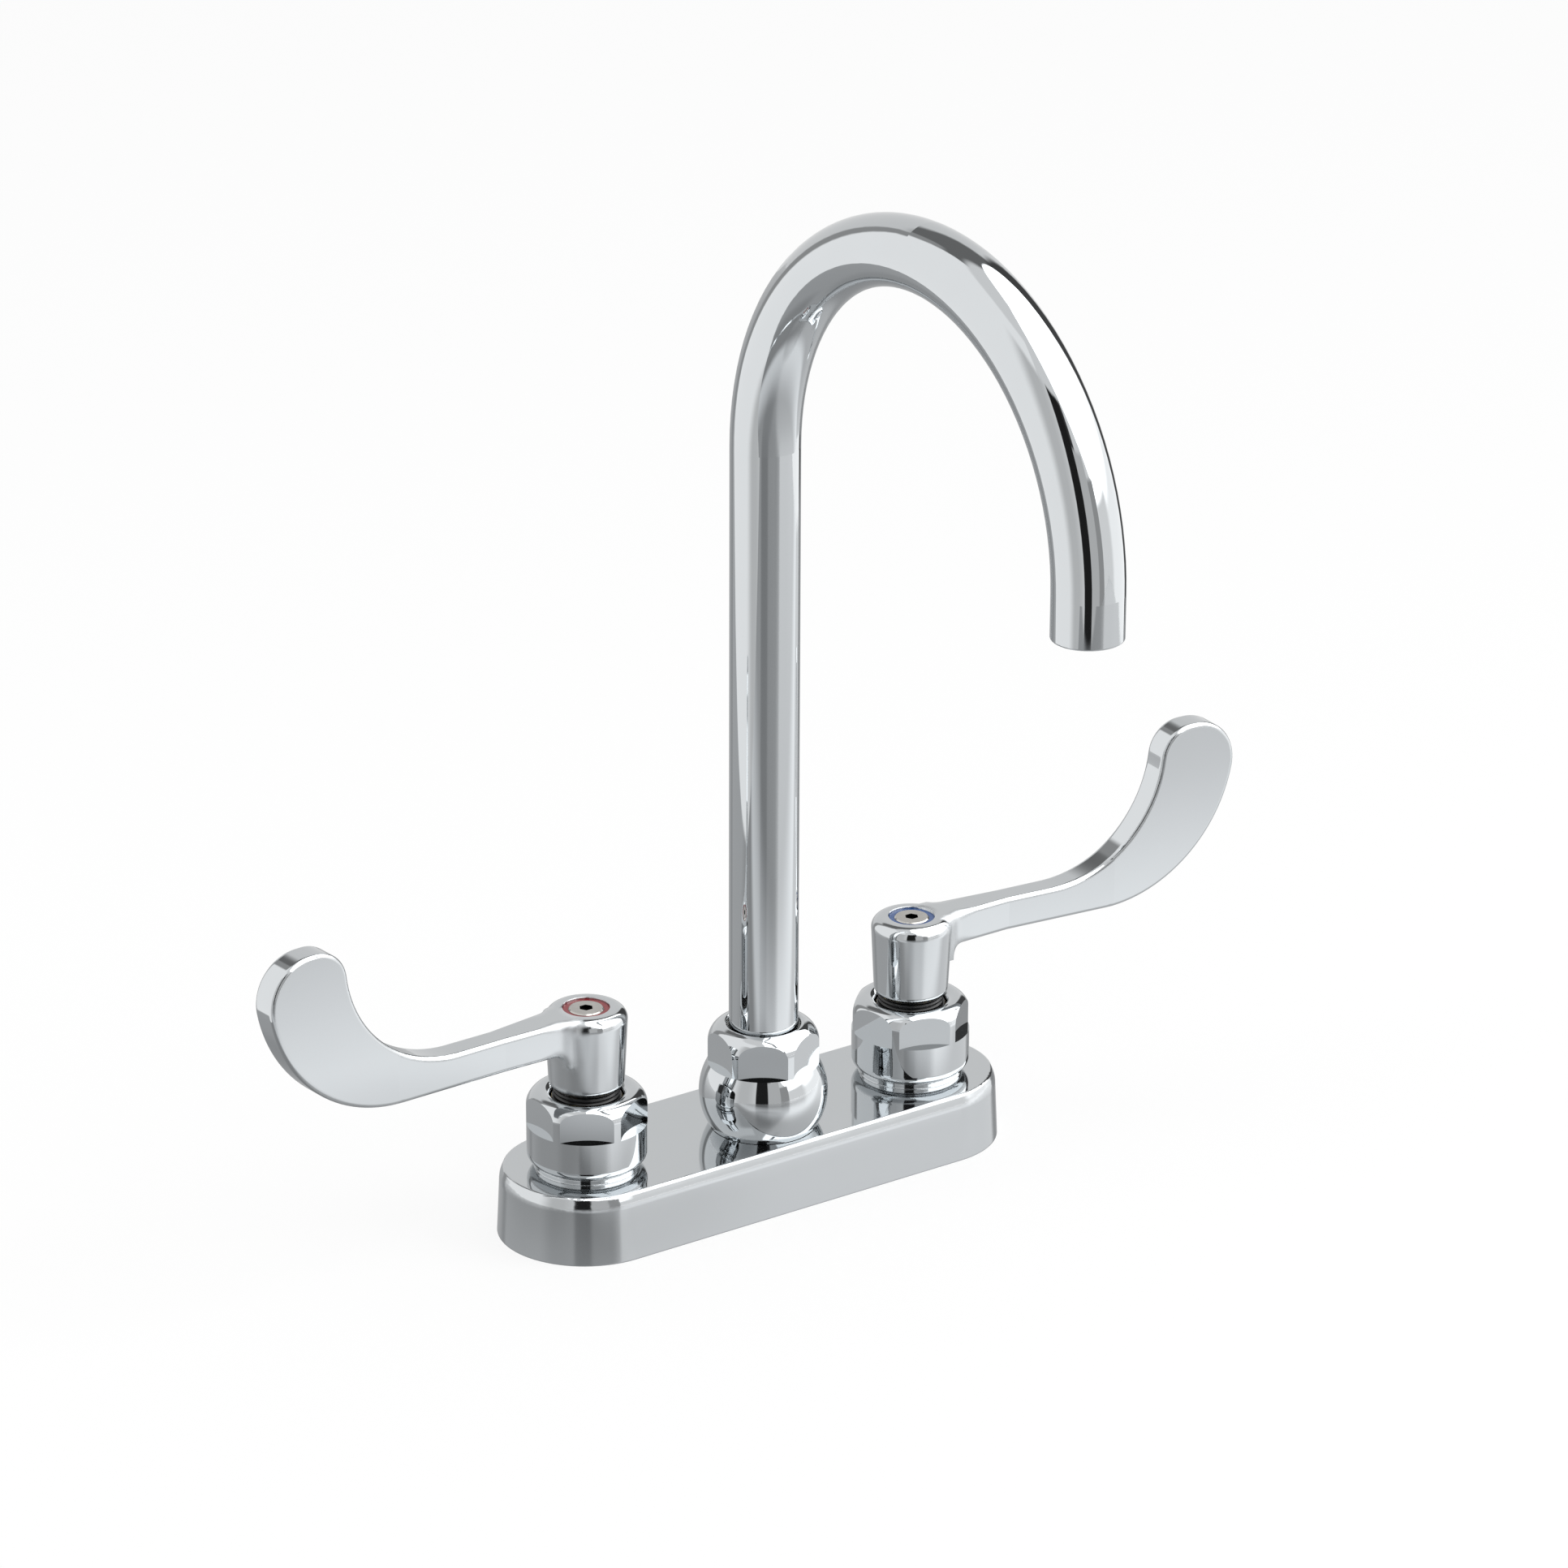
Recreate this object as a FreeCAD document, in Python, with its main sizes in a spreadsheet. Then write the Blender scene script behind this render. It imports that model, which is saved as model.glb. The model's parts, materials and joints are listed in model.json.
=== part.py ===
import FreeCAD, Part
import math
import os
import Sketcher
from FreeCAD import Placement, Rotation, Vector

# Centerset basin faucet with a gooseneck swing spout and two wrist-blade handles.
# Millimetres. The origin is in the middle of the base's underside, in the deck plane.
# +Z is up, -Y is the side where the user stands, hot is at -X and cold at +X.

os.makedirs("parts", exist_ok=True)
doc = FreeCAD.newDocument("BasinFaucet")

# Driving dimensions: name, millimetres (or degrees where the name says angle), meaning
DIMENSIONS = [
    ("inlet_spacing", 101.6, "between the two valve axes, the 4 inch centerset standard"),
    ("base_end", 23.2, "valve axis to the end of the base, at the deck"),
    ("base_width", 45.4, "base plate, front to back at the deck"),
    ("base_height", 18.0, "deck to the flat top of the base"),
    ("base_draft_angle", 2.7, "lean of the base's outer wall"),
    ("base_edge_height", 2.5, "sloping band below the base's top edge"),
    ("base_edge_angle", 22.0, "lean of that band"),
    ("base_edge_round", 6.0, "soft bend between the outer wall and that band"),
    ("base_top_round", 0.8, "rounding of the base's top edge"),
    ("base_wall", 3.0, "thickness of the base's wall and roof"),
    ("gasket_thickness", 2.5, "deck gasket inside the base's rim"),
    ("gasket_gap", 0.3, "gasket to rim and to shank"),
    ("valve_column_radius", 13.0, "solid column around each valve well"),
    ("valve_floor", 8.0, "deck to the floor of the valve well"),
    ("valve_floor_thickness", 3.0, "metal between the well and the shank"),
    ("valve_port_radius", 4.5, "hole that feeds the well from the shank"),
    ("well_radius", 10.3, "bore that takes the cartridge"),
    ("collar_radius", 13.4, "raised ring of the base under the bonnet"),
    ("collar_height", 1.3, "height of that ring"),
    ("neck_radius", 12.4, "threaded neck that the bonnet screws on"),
    ("neck_top", 31.0, "deck to the top of the neck"),
    ("channel_radius", 3.5, "waterway from each well to the centre post"),
    ("channel_wall", 2.0, "metal around the waterway"),
    ("channel_height", 12.0, "deck to the waterway's middle"),
    ("shank_radius", 10.5, "outside of the inlet shank where the lock nut turns"),
    ("shank_tail_radius", 10.2, "outside of the shank's lower end, for the half inch supply nut"),
    ("shank_tail_gap", 0.5, "lock nut to that lower end"),
    ("shank_bore_radius", 7.2, "inside of the inlet shank"),
    ("shank_drop", 48.0, "how far the shanks reach below the deck"),
    ("shank_fit", 0.05, "gap between shank and socket"),
    ("deck_allowance", 20.0, "deck thickness at which washers and nuts are shown"),
    ("washer_radius", 16.5, "flat washer under the deck"),
    ("washer_thickness", 2.0, "flat washer under the deck"),
    ("washer_gap", 0.3, "washer to shank"),
    ("locknut_flats", 27.0, "lock nut across its flats"),
    ("locknut_height", 8.0, "lock nut along the shank"),
    ("thread_fit", 0.05, "radial gap in a threaded joint"),
    ("bonnet_radius", 15.4, "outside of the bonnet"),
    ("bonnet_top", 38.9, "deck to the crown of the bonnet"),
    ("bonnet_crown_round", 4.0, "shoulder of the bonnet"),
    ("bonnet_foot_round", 2.7, "rounded lower edge of the bonnet"),
    ("bonnet_flat_distance", 13.8, "axis to each of the six flats"),
    ("bonnet_ledge", 30.0, "deck to the lower end of the flats"),
    ("bonnet_hole_radius", 9.2, "opening in the bonnet's crown"),
    ("bonnet_rim_round", 2.1, "rounded rim of that opening"),
    ("bonnet_seat_gap", 0.1, "bonnet's foot to the collar, and its shoulder to the cartridge"),
    ("flange_radius", 11.9, "cartridge flange that the bonnet clamps"),
    ("flange_thickness", 1.8, "cartridge flange"),
    ("housing_fit", 0.06, "cartridge to well"),
    ("housing_lower_radius", 8.7, "cartridge below its seal"),
    ("housing_seal_bottom", 22.0, "deck to the lower end of the cartridge's sealing band"),
    ("housing_foot", 9.0, "deck to the cartridge's lower edge"),
    ("housing_top", 37.2, "deck to the cartridge's top"),
    ("housing_top_radius", 8.3, "cartridge above its flange"),
    ("chamber_radius", 7.7, "disc chamber of the cartridge"),
    ("chamber_roof", 22.0, "deck to the roof of the disc chamber"),
    ("window_width", 6.0, "outlet windows of the cartridge"),
    ("window_bottom", 16.6, "deck to the lower edge of the windows"),
    ("window_top", 21.2, "deck to the upper edge of the windows"),
    ("oring_section", 1.6, "thickness of the cartridge's and spout's o-rings"),
    ("oring_groove_depth", 1.35, "grooves of those o-rings"),
    ("housing_oring_height", 26.5, "deck to the cartridge's o-ring"),
    ("disc_radius", 7.6, "ceramic discs"),
    ("disc_thickness", 2.8, "ceramic discs"),
    ("disc_film", 0.02, "film between the ceramic discs"),
    ("disc_port_outer", 6.2, "sector ports of the discs"),
    ("disc_port_inner", 2.0, "sector ports of the discs"),
    ("disc_port_angle", 80.0, "opening of one sector port"),
    ("disc_slot_width", 3.2, "driving slot of the moving disc"),
    ("disc_slot_depth", 1.2, "driving slot of the moving disc"),
    ("seat_seal_thickness", 2.4, "rubber seat under the fixed disc"),
    ("seat_seal_bore", 6.3, "radius of the seat's hole"),
    ("stem_plate_radius", 7.3, "driver of the stem, over the moving disc"),
    ("stem_plate_thickness", 2.0, "driver of the stem"),
    ("stem_collar_radius", 5.8, "thrust collar of the stem"),
    ("stem_radius", 4.5, "stem in its bearing"),
    ("stem_fit", 0.05, "stem to bearing, and driver to slot"),
    ("stem_shoulder", 40.2, "deck to the foot of the splines"),
    ("stem_top", 57.0, "deck to the top of the stem"),
    ("spline_radius", 4.0, "splined end of the stem"),
    ("spline_depth", 0.45, "depth of the splines"),
    ("spline_count", 16, "splines around the stem"),
    ("clip_height", 38.0, "deck to the stem's retaining clip"),
    ("clip_thickness", 0.8, "retaining clip"),
    ("clip_radius", 5.7, "retaining clip"),
    ("clip_mouth_width", 4.6, "opening of the clip, by which it slides onto the stem"),
    ("clip_groove_depth", 0.7, "groove of that clip"),
    ("clip_gap", 0.05, "clip to its groove"),
    ("stem_oring_section", 1.3, "thickness of the stem's o-ring"),
    ("stem_oring_height", 29.0, "deck to the stem's o-ring"),
    ("dust_ring_radius", 8.5, "black ring under the handle"),
    ("dust_ring_bore", 6.1, "hole of that ring"),
    ("dust_ring_skirt", 8.9, "skirt of that ring, around the cartridge's top"),
    ("dust_ring_lift", 0.4, "cartridge flange to the skirt"),
    ("dust_ring_fit", 0.1, "skirt to the cartridge"),
    ("dust_ring_groove", 0.4, "turned line around that ring"),
    ("handle_gap", 0.3, "black ring to handle"),
    ("hub_foot", 39.75, "deck to the underside of the handle's hub"),
    ("hub_height", 21.65, "hub of the handle"),
    ("hub_top_radius", 10.5, "hub of the handle near its top"),
    ("hub_foot_radius", 9.7, "hub of the handle at its underside"),
    ("hub_top_round", 3.0, "rounding of the hub's top edge"),
    ("hub_foot_round", 2.2, "rounding of the hub's lower edge"),
    ("hub_recess_radius", 6.8, "hollow under the hub"),
    ("hub_recess_depth", 2.6, "hollow under the hub"),
    ("index_recess_radius", 6.05, "recess for the colour ring"),
    ("index_recess_depth", 1.3, "recess for the colour ring"),
    ("index_ring_thickness", 0.8, "colour ring"),
    ("index_fit", 0.05, "colour ring to recess and to screw head"),
    ("screw_head_radius", 4.5, "handle screw's head"),
    ("screw_head_stand", 0.15, "how far the head lies below the hub's top"),
    ("screw_socket_flats", 3.2, "hex socket of the screw"),
    ("screw_socket_depth", 0.9, "hex socket of the screw"),
    ("screw_radius", 2.0, "handle screw's shank"),
    ("screw_length", 13.0, "handle screw's shank"),
    ("screw_fit", 0.05, "screw to its hole in the stem"),
    ("screw_clearance", 0.25, "screw to its hole in the hub"),
    ("lever_sweep_angle", 3.7, "how far a closed lever points forward of the line of the valves"),
    ("arm_foot", 12.6, "hub's underside to the arm's lower edge"),
    ("arm_thickness", 7.2, "arm at its narrowest, front to back"),
    ("arm_narrow_distance", 28.0, "valve axis to the narrowest place of the arm"),
    ("arm_shoulder_width", 9.6, "arm where its flare into the hub begins"),
    ("arm_flare_distance", 11.8, "valve axis to the beginning of that flare"),
    ("arm_flare_radius", 4.0, "hollow of that flare"),
    ("arm_flare_width", 11.4, "arm where it meets the hub"),
    ("arm_web_round", 3.5, "web under the arm at the hub"),
    ("blade_thickness", 7.6, "blade, front to back"),
    ("blade_offset", 1.3, "how far the blade's middle lies beside the arm's"),
    ("blade_full_distance", 60.0, "valve axis to where the blade has its own thickness"),
    ("blade_reach", 97.95, "valve axis to the blade's outer edge"),
    ("blade_width", 23.1, "blade, between its inner and outer edge"),
    ("blade_top", 59.4, "hub's underside to the top of the blade"),
    ("blade_outer_radius", 40.0, "sweep of the blade's outer edge"),
    ("blade_inner_radius", 33.5, "sweep of the blade's inner edge"),
    ("blade_outer_corner", 12.0, "outer corner of the blade"),
    ("blade_inner_corner", 9.2, "inner corner of the blade"),
    ("blade_edge_round", 1.2, "rounding of the arm's and blade's edges"),
    ("spout_forward", 5.5, "spout axis in front of the line of the valves"),
    ("post_radius", 10.8, "threaded centre post"),
    ("post_top", 37.9, "deck to the top of the post"),
    ("post_bore_radius", 7.5, "bore of the post"),
    ("post_floor", 6.0, "deck to the bottom of the post's bore"),
    ("post_column_radius", 13.2, "solid column under the post"),
    ("ball_radius", 16.6, "round skirt of the spout nut"),
    ("ball_height", 27.4, "deck to the widest place of that skirt"),
    ("spout_nut_radius", 14.3, "hexagonal part of the spout nut, over its corners"),
    ("spout_nut_top", 46.8, "deck to the top of the spout nut"),
    ("spout_nut_round", 5.5, "shoulder of the spout nut"),
    ("spout_nut_flat_distance", 12.8, "axis to each of the six flats"),
    ("spout_nut_ledge", 35.7, "deck to the lower end of the flats"),
    ("spout_nut_hole_radius", 9.45, "hole for the tube"),
    ("spout_nut_rim_round", 0.8, "rounded rim of that hole"),
    ("spout_nut_lip", 2.8, "thickness of the nut's lip"),
    ("cup_radius", 10.9, "ferrule's cup, around the foot of the tube"),
    ("cup_floor", 1.0, "thickness of the cup's floor"),
    ("cup_gap", 0.1, "ferrule to post"),
    ("cup_side_gap", 0.25, "ferrule to nut"),
    ("slip_washer_thickness", 0.8, "slip washer under the nut's lip"),
    ("slip_gap", 0.05, "slip washer to lip and to cup"),
    ("ferrule_fit", 0.06, "ferrule to post"),
    ("ferrule_foot", 20.0, "deck to the ferrule's lower end"),
    ("ferrule_bore_radius", 4.4, "bore of the ferrule"),
    ("spout_oring_low", 24.0, "deck to the lower spout o-ring"),
    ("spout_oring_pitch", 7.0, "between the two spout o-rings"),
    ("tube_radius", 8.9, "outside of the spout tube"),
    ("tube_wall", 1.2, "wall of the spout tube"),
    ("tube_fit", 0.05, "tube to ferrule"),
    ("outlet_straight", 11.3, "straight end of the tube above the outlet"),
    ("gooseneck_radius", 66.4, "bend of the tube's centre line up to its highest point"),
    ("gooseneck_outlet_radius", 64.6, "bend of the tube's centre line towards the outlet"),
    ("outlet_height", 193.0, "deck to the outlet"),
    ("outlet_round", 0.5, "rounded end of the tube"),
    ("aerator_fit", 0.08, "aerator to tube"),
    ("aerator_inset", 0.8, "outlet to the aerator's lower face"),
    ("aerator_length", 9.0, "aerator housing"),
    ("aerator_wall", 1.2, "aerator housing"),
    ("aerator_lip", 0.9, "lip that holds the flow straightener"),
    ("straightener_length", 4.0, "flow straightener"),
    ("straightener_hole_radius", 0.75, "holes of the flow straightener"),
    ("straightener_inner_ring", 2.1, "radius of its inner ring of holes"),
    ("straightener_outer_ring", 4.1, "radius of its outer ring of holes"),
    ("straightener_inner_count", 6, "holes in the inner ring"),
    ("straightener_outer_count", 12, "holes in the outer ring"),
    ("aerator_washer_thickness", 1.5, "rubber washer above the aerator"),
]


# Shares and small steps that several parts use
ORING_SEATED = 0.85  # of an o-ring's thickness is left when it is squeezed in its groove
ORING_GROOVE = 1.2  # groove's width over the o-ring's thickness
STEM_GROOVE = 0.9  # depth of the stem's groove over the thickness of its o-ring
BEYOND = 1.0  # how far a cut runs out past a surface
SAME = 0.02  # edges closer than this to a level or a radius belong to it


class Length:
    """A size that keeps its number together with the cell formula that it comes from."""

    def __init__(self, number, text):
        self.number = float(number)
        self.text = text

    def joined(self, other, sign, number):
        text = other.text if isinstance(other, Length) else repr(other)
        return Length(number, "(" + self.text + " " + sign + " " + text + ")")

    def __add__(self, other):
        return self.joined(other, "+", self.number + plain(other))

    def __sub__(self, other):
        return self.joined(other, "-", self.number - plain(other))

    def __mul__(self, other):
        return self.joined(other, "*", self.number * plain(other))

    def __truediv__(self, other):
        return self.joined(other, "/", self.number / plain(other))

    def __neg__(self):
        return Length(-self.number, "(-" + self.text + ")")


def plain(value):
    return value.number if isinstance(value, Length) else float(value)


# The sheet of driving dimensions
sheet = doc.addObject("Spreadsheet::Sheet", "Sizes")
for row, (name, value, meaning) in enumerate(DIMENSIONS, start=1):
    sheet.set("A%d" % row, name)
    sheet.set("B%d" % row, str(value))
    sheet.set("C%d" % row, meaning)
    sheet.setAlias("B%d" % row, name)
doc.recompute()


def size(name):
    """The length of one cell."""
    return Length(sheet.get(name), "Sizes." + name)


def tangent(angle):
    """The tangent of a cell's angle in degrees, as a formula."""
    return Length(math.tan(math.radians(plain(angle))), "tan(" + angle.text + ")")


def bind(item, field, length):
    item.setExpression(field, length.text)


# Sketch and feature helpers
def new_body(name):
    body = doc.addObject("PartDesign::Body", name)
    body.Label = name
    return body


def plane_of(body, role):
    return [item for item in body.Origin.OriginFeatures if item.Role == role][0]


def new_sketch(body, name, role, lift=None):
    """An empty sketch on one of the body's own planes, raised along the plane's normal."""
    sketch = body.newObject("Sketcher::SketchObject", name)
    sketch.AttachmentSupport = [(plane_of(body, role), "")]
    sketch.MapMode = "FlatFace"
    if lift is not None:
        bind(sketch, "AttachmentOffset.Base.z", lift)
    return sketch


def fix_point(sketch, item, end, across, up):
    """Ties one point of a sketch to the sheet, both ways from the sketch's origin."""
    for kind, axis, place in (("DistanceX", -2, across), ("DistanceY", -1, up)):
        if place is None:
            continue
        if plain(place) == 0.0:
            sketch.addConstraint(Sketcher.Constraint("PointOnObject", item, end, axis))
            continue
        index = sketch.addConstraint(Sketcher.Constraint(kind, item, end, plain(place)))
        bind(sketch, "Constraints[%d]" % index, place)


def add_outline(sketch, corners):
    """A closed outline of straight lines through the given corners."""
    places = [Vector(plain(across), plain(up), 0) for across, up in corners]
    first = len(sketch.Geometry)
    count = len(corners)
    for index in range(count):
        sketch.addGeometry(Part.LineSegment(places[index], places[(index + 1) % count]), False)
    for index in range(count):
        following = (index + 1) % count
        sketch.addConstraint(Sketcher.Constraint("Coincident", first + index, 2, first + following, 1))
    for index, (across, up) in enumerate(corners):
        fix_point(sketch, first + index, 1, across, up)


def add_chain(sketch, corners):
    """An open chain of lines. A corner is (across, up, guess); a None is left to an arc that
    meets the chain there, and starts from the guess."""
    places = []
    for across, up, guess in corners:
        at_across = guess if across is None else plain(across)
        at_up = guess if up is None else plain(up)
        places.append(Vector(at_across, at_up, 0))
    lines = []
    for start, end in zip(places[:-1], places[1:]):
        lines.append(sketch.addGeometry(Part.LineSegment(start, end), False))
    for line, following in zip(lines[:-1], lines[1:]):
        sketch.addConstraint(Sketcher.Constraint("Coincident", line, 2, following, 1))
    for line, (across, up, guess) in zip(lines, corners):
        fix_point(sketch, line, 1, across, up)
    fix_point(sketch, lines[-1], 2, *corners[-1][:2])
    return lines


def add_circle(sketch, radius, across=0, up=0):
    """A circle; a centre at 0, 0 lies on the sketch's origin."""
    circle = Part.Circle(Vector(plain(across), plain(up), 0), Vector(0, 0, 1), plain(radius))
    item = sketch.addGeometry(circle, False)
    if plain(across) == 0.0 and plain(up) == 0.0:
        sketch.addConstraint(Sketcher.Constraint("Coincident", item, 3, -1, 1))
    else:
        fix_point(sketch, item, 3, across, up)
    index = sketch.addConstraint(Sketcher.Constraint("Radius", item, plain(radius)))
    bind(sketch, "Constraints[%d]" % index, radius)


def add_rectangle(sketch, left, bottom, right, top):
    add_outline(sketch, [(left, bottom), (right, bottom), (right, top), (left, top)])


def add_arc(sketch, centre, radius, start, end):
    """An arc between two angles in degrees; its radius is tied to the sheet."""
    circle = Part.Circle(Vector(plain(centre[0]), plain(centre[1]), 0), Vector(0, 0, 1), plain(radius))
    item = sketch.addGeometry(Part.ArcOfCircle(circle, math.radians(start), math.radians(end)), False)
    index = sketch.addConstraint(Sketcher.Constraint("Radius", item, plain(radius)))
    bind(sketch, "Constraints[%d]" % index, radius)
    return item


def revolve(body, name, corners, cut=False):
    """Turns a profile of (radius, height) corners around the body's upright axis."""
    sketch = new_sketch(body, name + "_profile", "XZ_Plane")
    add_outline(sketch, corners)
    return turn(body, name, sketch, cut)


def turn(body, name, sketch, cut=False):
    feature = body.newObject("PartDesign::Groove" if cut else "PartDesign::Revolution", name)
    feature.Profile = sketch
    feature.ReferenceAxis = (sketch, ["V_Axis"])
    feature.Angle = 360
    return feature


def pad(body, name, sketch, length, midplane=False):
    feature = body.newObject("PartDesign::Pad", name)
    feature.Profile = sketch
    feature.Midplane = midplane
    bind(feature, "Length", length)
    return feature


def pocket(body, name, sketch, length, upward=True, midplane=False):
    """Cuts from the sketch along its normal, or both ways from it."""
    feature = body.newObject("PartDesign::Pocket", name)
    feature.Profile = sketch
    feature.Midplane = midplane
    feature.Reversed = upward
    bind(feature, "Length", length)
    return feature


def pattern(body, name, feature, count, role="Z_Axis"):
    copies = body.newObject("PartDesign::PolarPattern", name)
    copies.Originals = [feature]
    copies.Axis = (plane_of(body, role), [""])
    copies.Angle = 360
    if isinstance(count, Length):
        bind(copies, "Occurrences", count)
    else:
        copies.Occurrences = count
    body.Tip = copies
    return copies


def edges_where(feature, chosen):
    """Names of the feature's edges for which chosen(edge) holds."""
    doc.recompute()
    return ["Edge%d" % (index + 1) for index, edge in enumerate(feature.Shape.Edges) if chosen(edge)]


def ring_at(height, radius):
    """Picks the full circles of one radius at one height."""

    def chosen(edge):
        box = edge.BoundBox
        flat = box.ZLength < SAME and abs(box.ZMin - plain(height)) < SAME
        return flat and abs(box.XMax - plain(radius)) < SAME and abs(box.XMin + plain(radius)) < SAME

    return chosen


def flat_edge_at(height):
    """Picks every level edge at one height."""

    def chosen(edge):
        box = edge.BoundBox
        return box.ZLength < SAME and abs(box.ZMin - plain(height)) < SAME

    return chosen


def fillet(body, name, feature, chosen, radius):
    round_off = body.newObject("PartDesign::Fillet", name)
    round_off.Base = (feature, edges_where(feature, chosen))
    bind(round_off, "Radius", radius)
    return round_off


def put(body, across=0, forward=0, up=0, turn_angle=0):
    """Places a body: to the side, to the back, up, and turned about the upright."""
    place = (plain(across), plain(forward), plain(up))
    body.Placement = Placement(Vector(*place), Rotation(Vector(0, 0, 1), plain(turn_angle)))
    for axis, value in zip("xyz", (across, forward, up)):
        if isinstance(value, Length):
            bind(body, "Placement.Base." + axis, value)
    if isinstance(turn_angle, Length):
        bind(body, "Placement.Rotation.Angle", turn_angle)
    return body


valve_x = size("inlet_spacing") / 2
base_length = size("inlet_spacing") + size("base_end") * 2
spout_y = -size("spout_forward")
SIDES = (("hot", -1), ("cold", 1))


def side_x(side):
    return valve_x * side


# Base casting
def add_stadium(sketch, length, width):
    """Two straight sides joined by half circles."""
    reach = (length - width) / 2
    half = width / 2
    left, right = plain(-reach), plain(reach)
    front, back = plain(-half), plain(half)
    upper = sketch.addGeometry(Part.LineSegment(Vector(right, back, 0), Vector(left, back, 0)), False)
    lower = sketch.addGeometry(Part.LineSegment(Vector(left, front, 0), Vector(right, front, 0)), False)
    ends = []
    for middle, start, end in ((left, 90, 270), (right, -90, 90)):
        circle = Part.Circle(Vector(middle, 0, 0), Vector(0, 0, 1), back)
        arc = Part.ArcOfCircle(circle, math.radians(start), math.radians(end))
        ends.append(sketch.addGeometry(arc, False))
    for first, one, second, two in (
        (upper, 2, ends[0], 1),
        (ends[0], 2, lower, 1),
        (lower, 2, ends[1], 1),
        (ends[1], 2, upper, 1),
    ):
        sketch.addConstraint(Sketcher.Constraint("Tangent", first, one, second, two))
    sketch.addConstraint(Sketcher.Constraint("Horizontal", upper))
    fix_point(sketch, ends[0], 3, -reach, 0)
    fix_point(sketch, ends[1], 3, reach, 0)
    index = sketch.addConstraint(Sketcher.Constraint("Radius", ends[0], plain(half)))
    bind(sketch, "Constraints[%d]" % index, half)


def make_base_casting():
    body = new_body("base_casting")
    plan = new_sketch(body, "plan", "XY_Plane")
    add_stadium(plan, base_length, size("base_width"))
    top = size("base_height")
    bend = top - size("base_edge_height")
    draft = size("base_draft_angle")
    block = pad(body, "block", plan, bend)
    bind(block, "TaperAngle", -draft)

    # The wall leans in more steeply near the top, behind a soft bend
    narrowing = bend * tangent(draft) * 2
    band_plan = new_sketch(body, "band_plan", "XY_Plane", bend)
    add_stadium(band_plan, base_length - narrowing, size("base_width") - narrowing)
    band = pad(body, "band", band_plan, size("base_edge_height"))
    bind(band, "TaperAngle", -size("base_edge_angle"))
    soft = fillet(body, "band_bend", band, flat_edge_at(bend), size("base_edge_round"))
    fillet(body, "top_round", soft, flat_edge_at(top), size("base_top_round"))

    # Bosses that stand on the flat top
    collar_top = top + size("collar_height")
    for name, side in SIDES:
        collar = new_sketch(body, name + "_collar_plan", "XY_Plane")
        add_circle(collar, size("collar_radius"), side_x(side), 0)
        pad(body, name + "_collar", collar, collar_top)
        neck = new_sketch(body, name + "_neck_plan", "XY_Plane")
        add_circle(neck, size("neck_radius"), side_x(side), 0)
        pad(body, name + "_neck", neck, size("neck_top"))
    post = new_sketch(body, "post_plan", "XY_Plane")
    add_circle(post, size("post_radius"), 0, spout_y)
    pad(body, "post", post, size("post_top"))

    # Hollow underside, with the gasket's bed kept wide around the columns
    hollow = new_sketch(body, "hollow_plan", "XY_Plane")
    wall = size("base_wall")
    add_stadium(hollow, base_length - wall * 2, size("base_width") - wall * 2)
    roof = size("base_height") - wall
    pocket(body, "hollow", hollow, roof)

    # Columns around the wells, the post and the waterway, back inside the hollow
    bed = size("gasket_thickness")
    columns = new_sketch(body, "columns_plan", "XY_Plane", bed)
    for name, side in SIDES:
        add_circle(columns, size("valve_column_radius"), side_x(side), 0)
    add_circle(columns, size("post_column_radius"), 0, spout_y)
    pad(body, "columns", columns, roof - bed)
    duct_half = size("channel_radius") + size("channel_wall")
    duct_foot = size("channel_height") - duct_half
    duct = new_sketch(body, "duct_plan", "XY_Plane", duct_foot)
    add_rectangle(duct, -valve_x, -duct_half, valve_x, duct_half)
    pad(body, "duct", duct, roof - duct_foot)

    # Wells, ports and sockets for the shanks
    floor = size("valve_floor")
    socket = floor - size("valve_floor_thickness")
    for name, side in SIDES:
        well = new_sketch(body, name + "_well_plan", "XY_Plane", floor)
        add_circle(well, size("well_radius"), side_x(side), 0)
        pocket(body, name + "_well", well, size("neck_top"))
        port = new_sketch(body, name + "_port_plan", "XY_Plane")
        add_circle(port, size("valve_port_radius"), side_x(side), 0)
        pocket(body, name + "_port", port, floor + BEYOND)
        seat = new_sketch(body, name + "_socket_plan", "XY_Plane")
        add_circle(seat, size("shank_radius") + size("shank_fit"), side_x(side), 0)
        pocket(body, name + "_socket", seat, socket)
    bore = new_sketch(body, "post_bore_plan", "XY_Plane", size("post_floor"))
    add_circle(bore, size("post_bore_radius"), 0, spout_y)
    pocket(body, "post_bore", bore, size("post_top"))
    channel = new_sketch(body, "channel_section", "YZ_Plane")
    add_circle(channel, size("channel_radius"), 0, size("channel_height"))
    pocket(body, "channel", channel, size("inlet_spacing"), midplane=True)
    return body


def make_deck_gasket():
    body = new_body("deck_gasket")
    plan = new_sketch(body, "plan", "XY_Plane")
    inset = (size("base_wall") + size("gasket_gap")) * 2
    add_stadium(plan, base_length - inset, size("base_width") - inset)
    for name, side in SIDES:
        add_circle(plan, size("shank_radius") + size("gasket_gap"), side_x(side), 0)
    pad(body, "plate", plan, size("gasket_thickness"))
    return body


# Below the deck, at each valve
def lock_nut_foot():
    return -(size("deck_allowance") + size("washer_thickness") + size("locknut_height"))


def make_inlet_shank(name, side):
    body = new_body(name + "_inlet_shank")
    top = size("valve_floor") - size("valve_floor_thickness")
    foot = -size("shank_drop")
    step = lock_nut_foot() - size("shank_tail_gap")
    bore = size("shank_bore_radius")
    tail = size("shank_tail_radius")
    outside = size("shank_radius")
    revolve(body, "tube", [
        (bore, foot), (tail, foot), (tail, step), (outside, step), (outside, top), (bore, top),
    ])
    return put(body, side_x(side))


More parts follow.
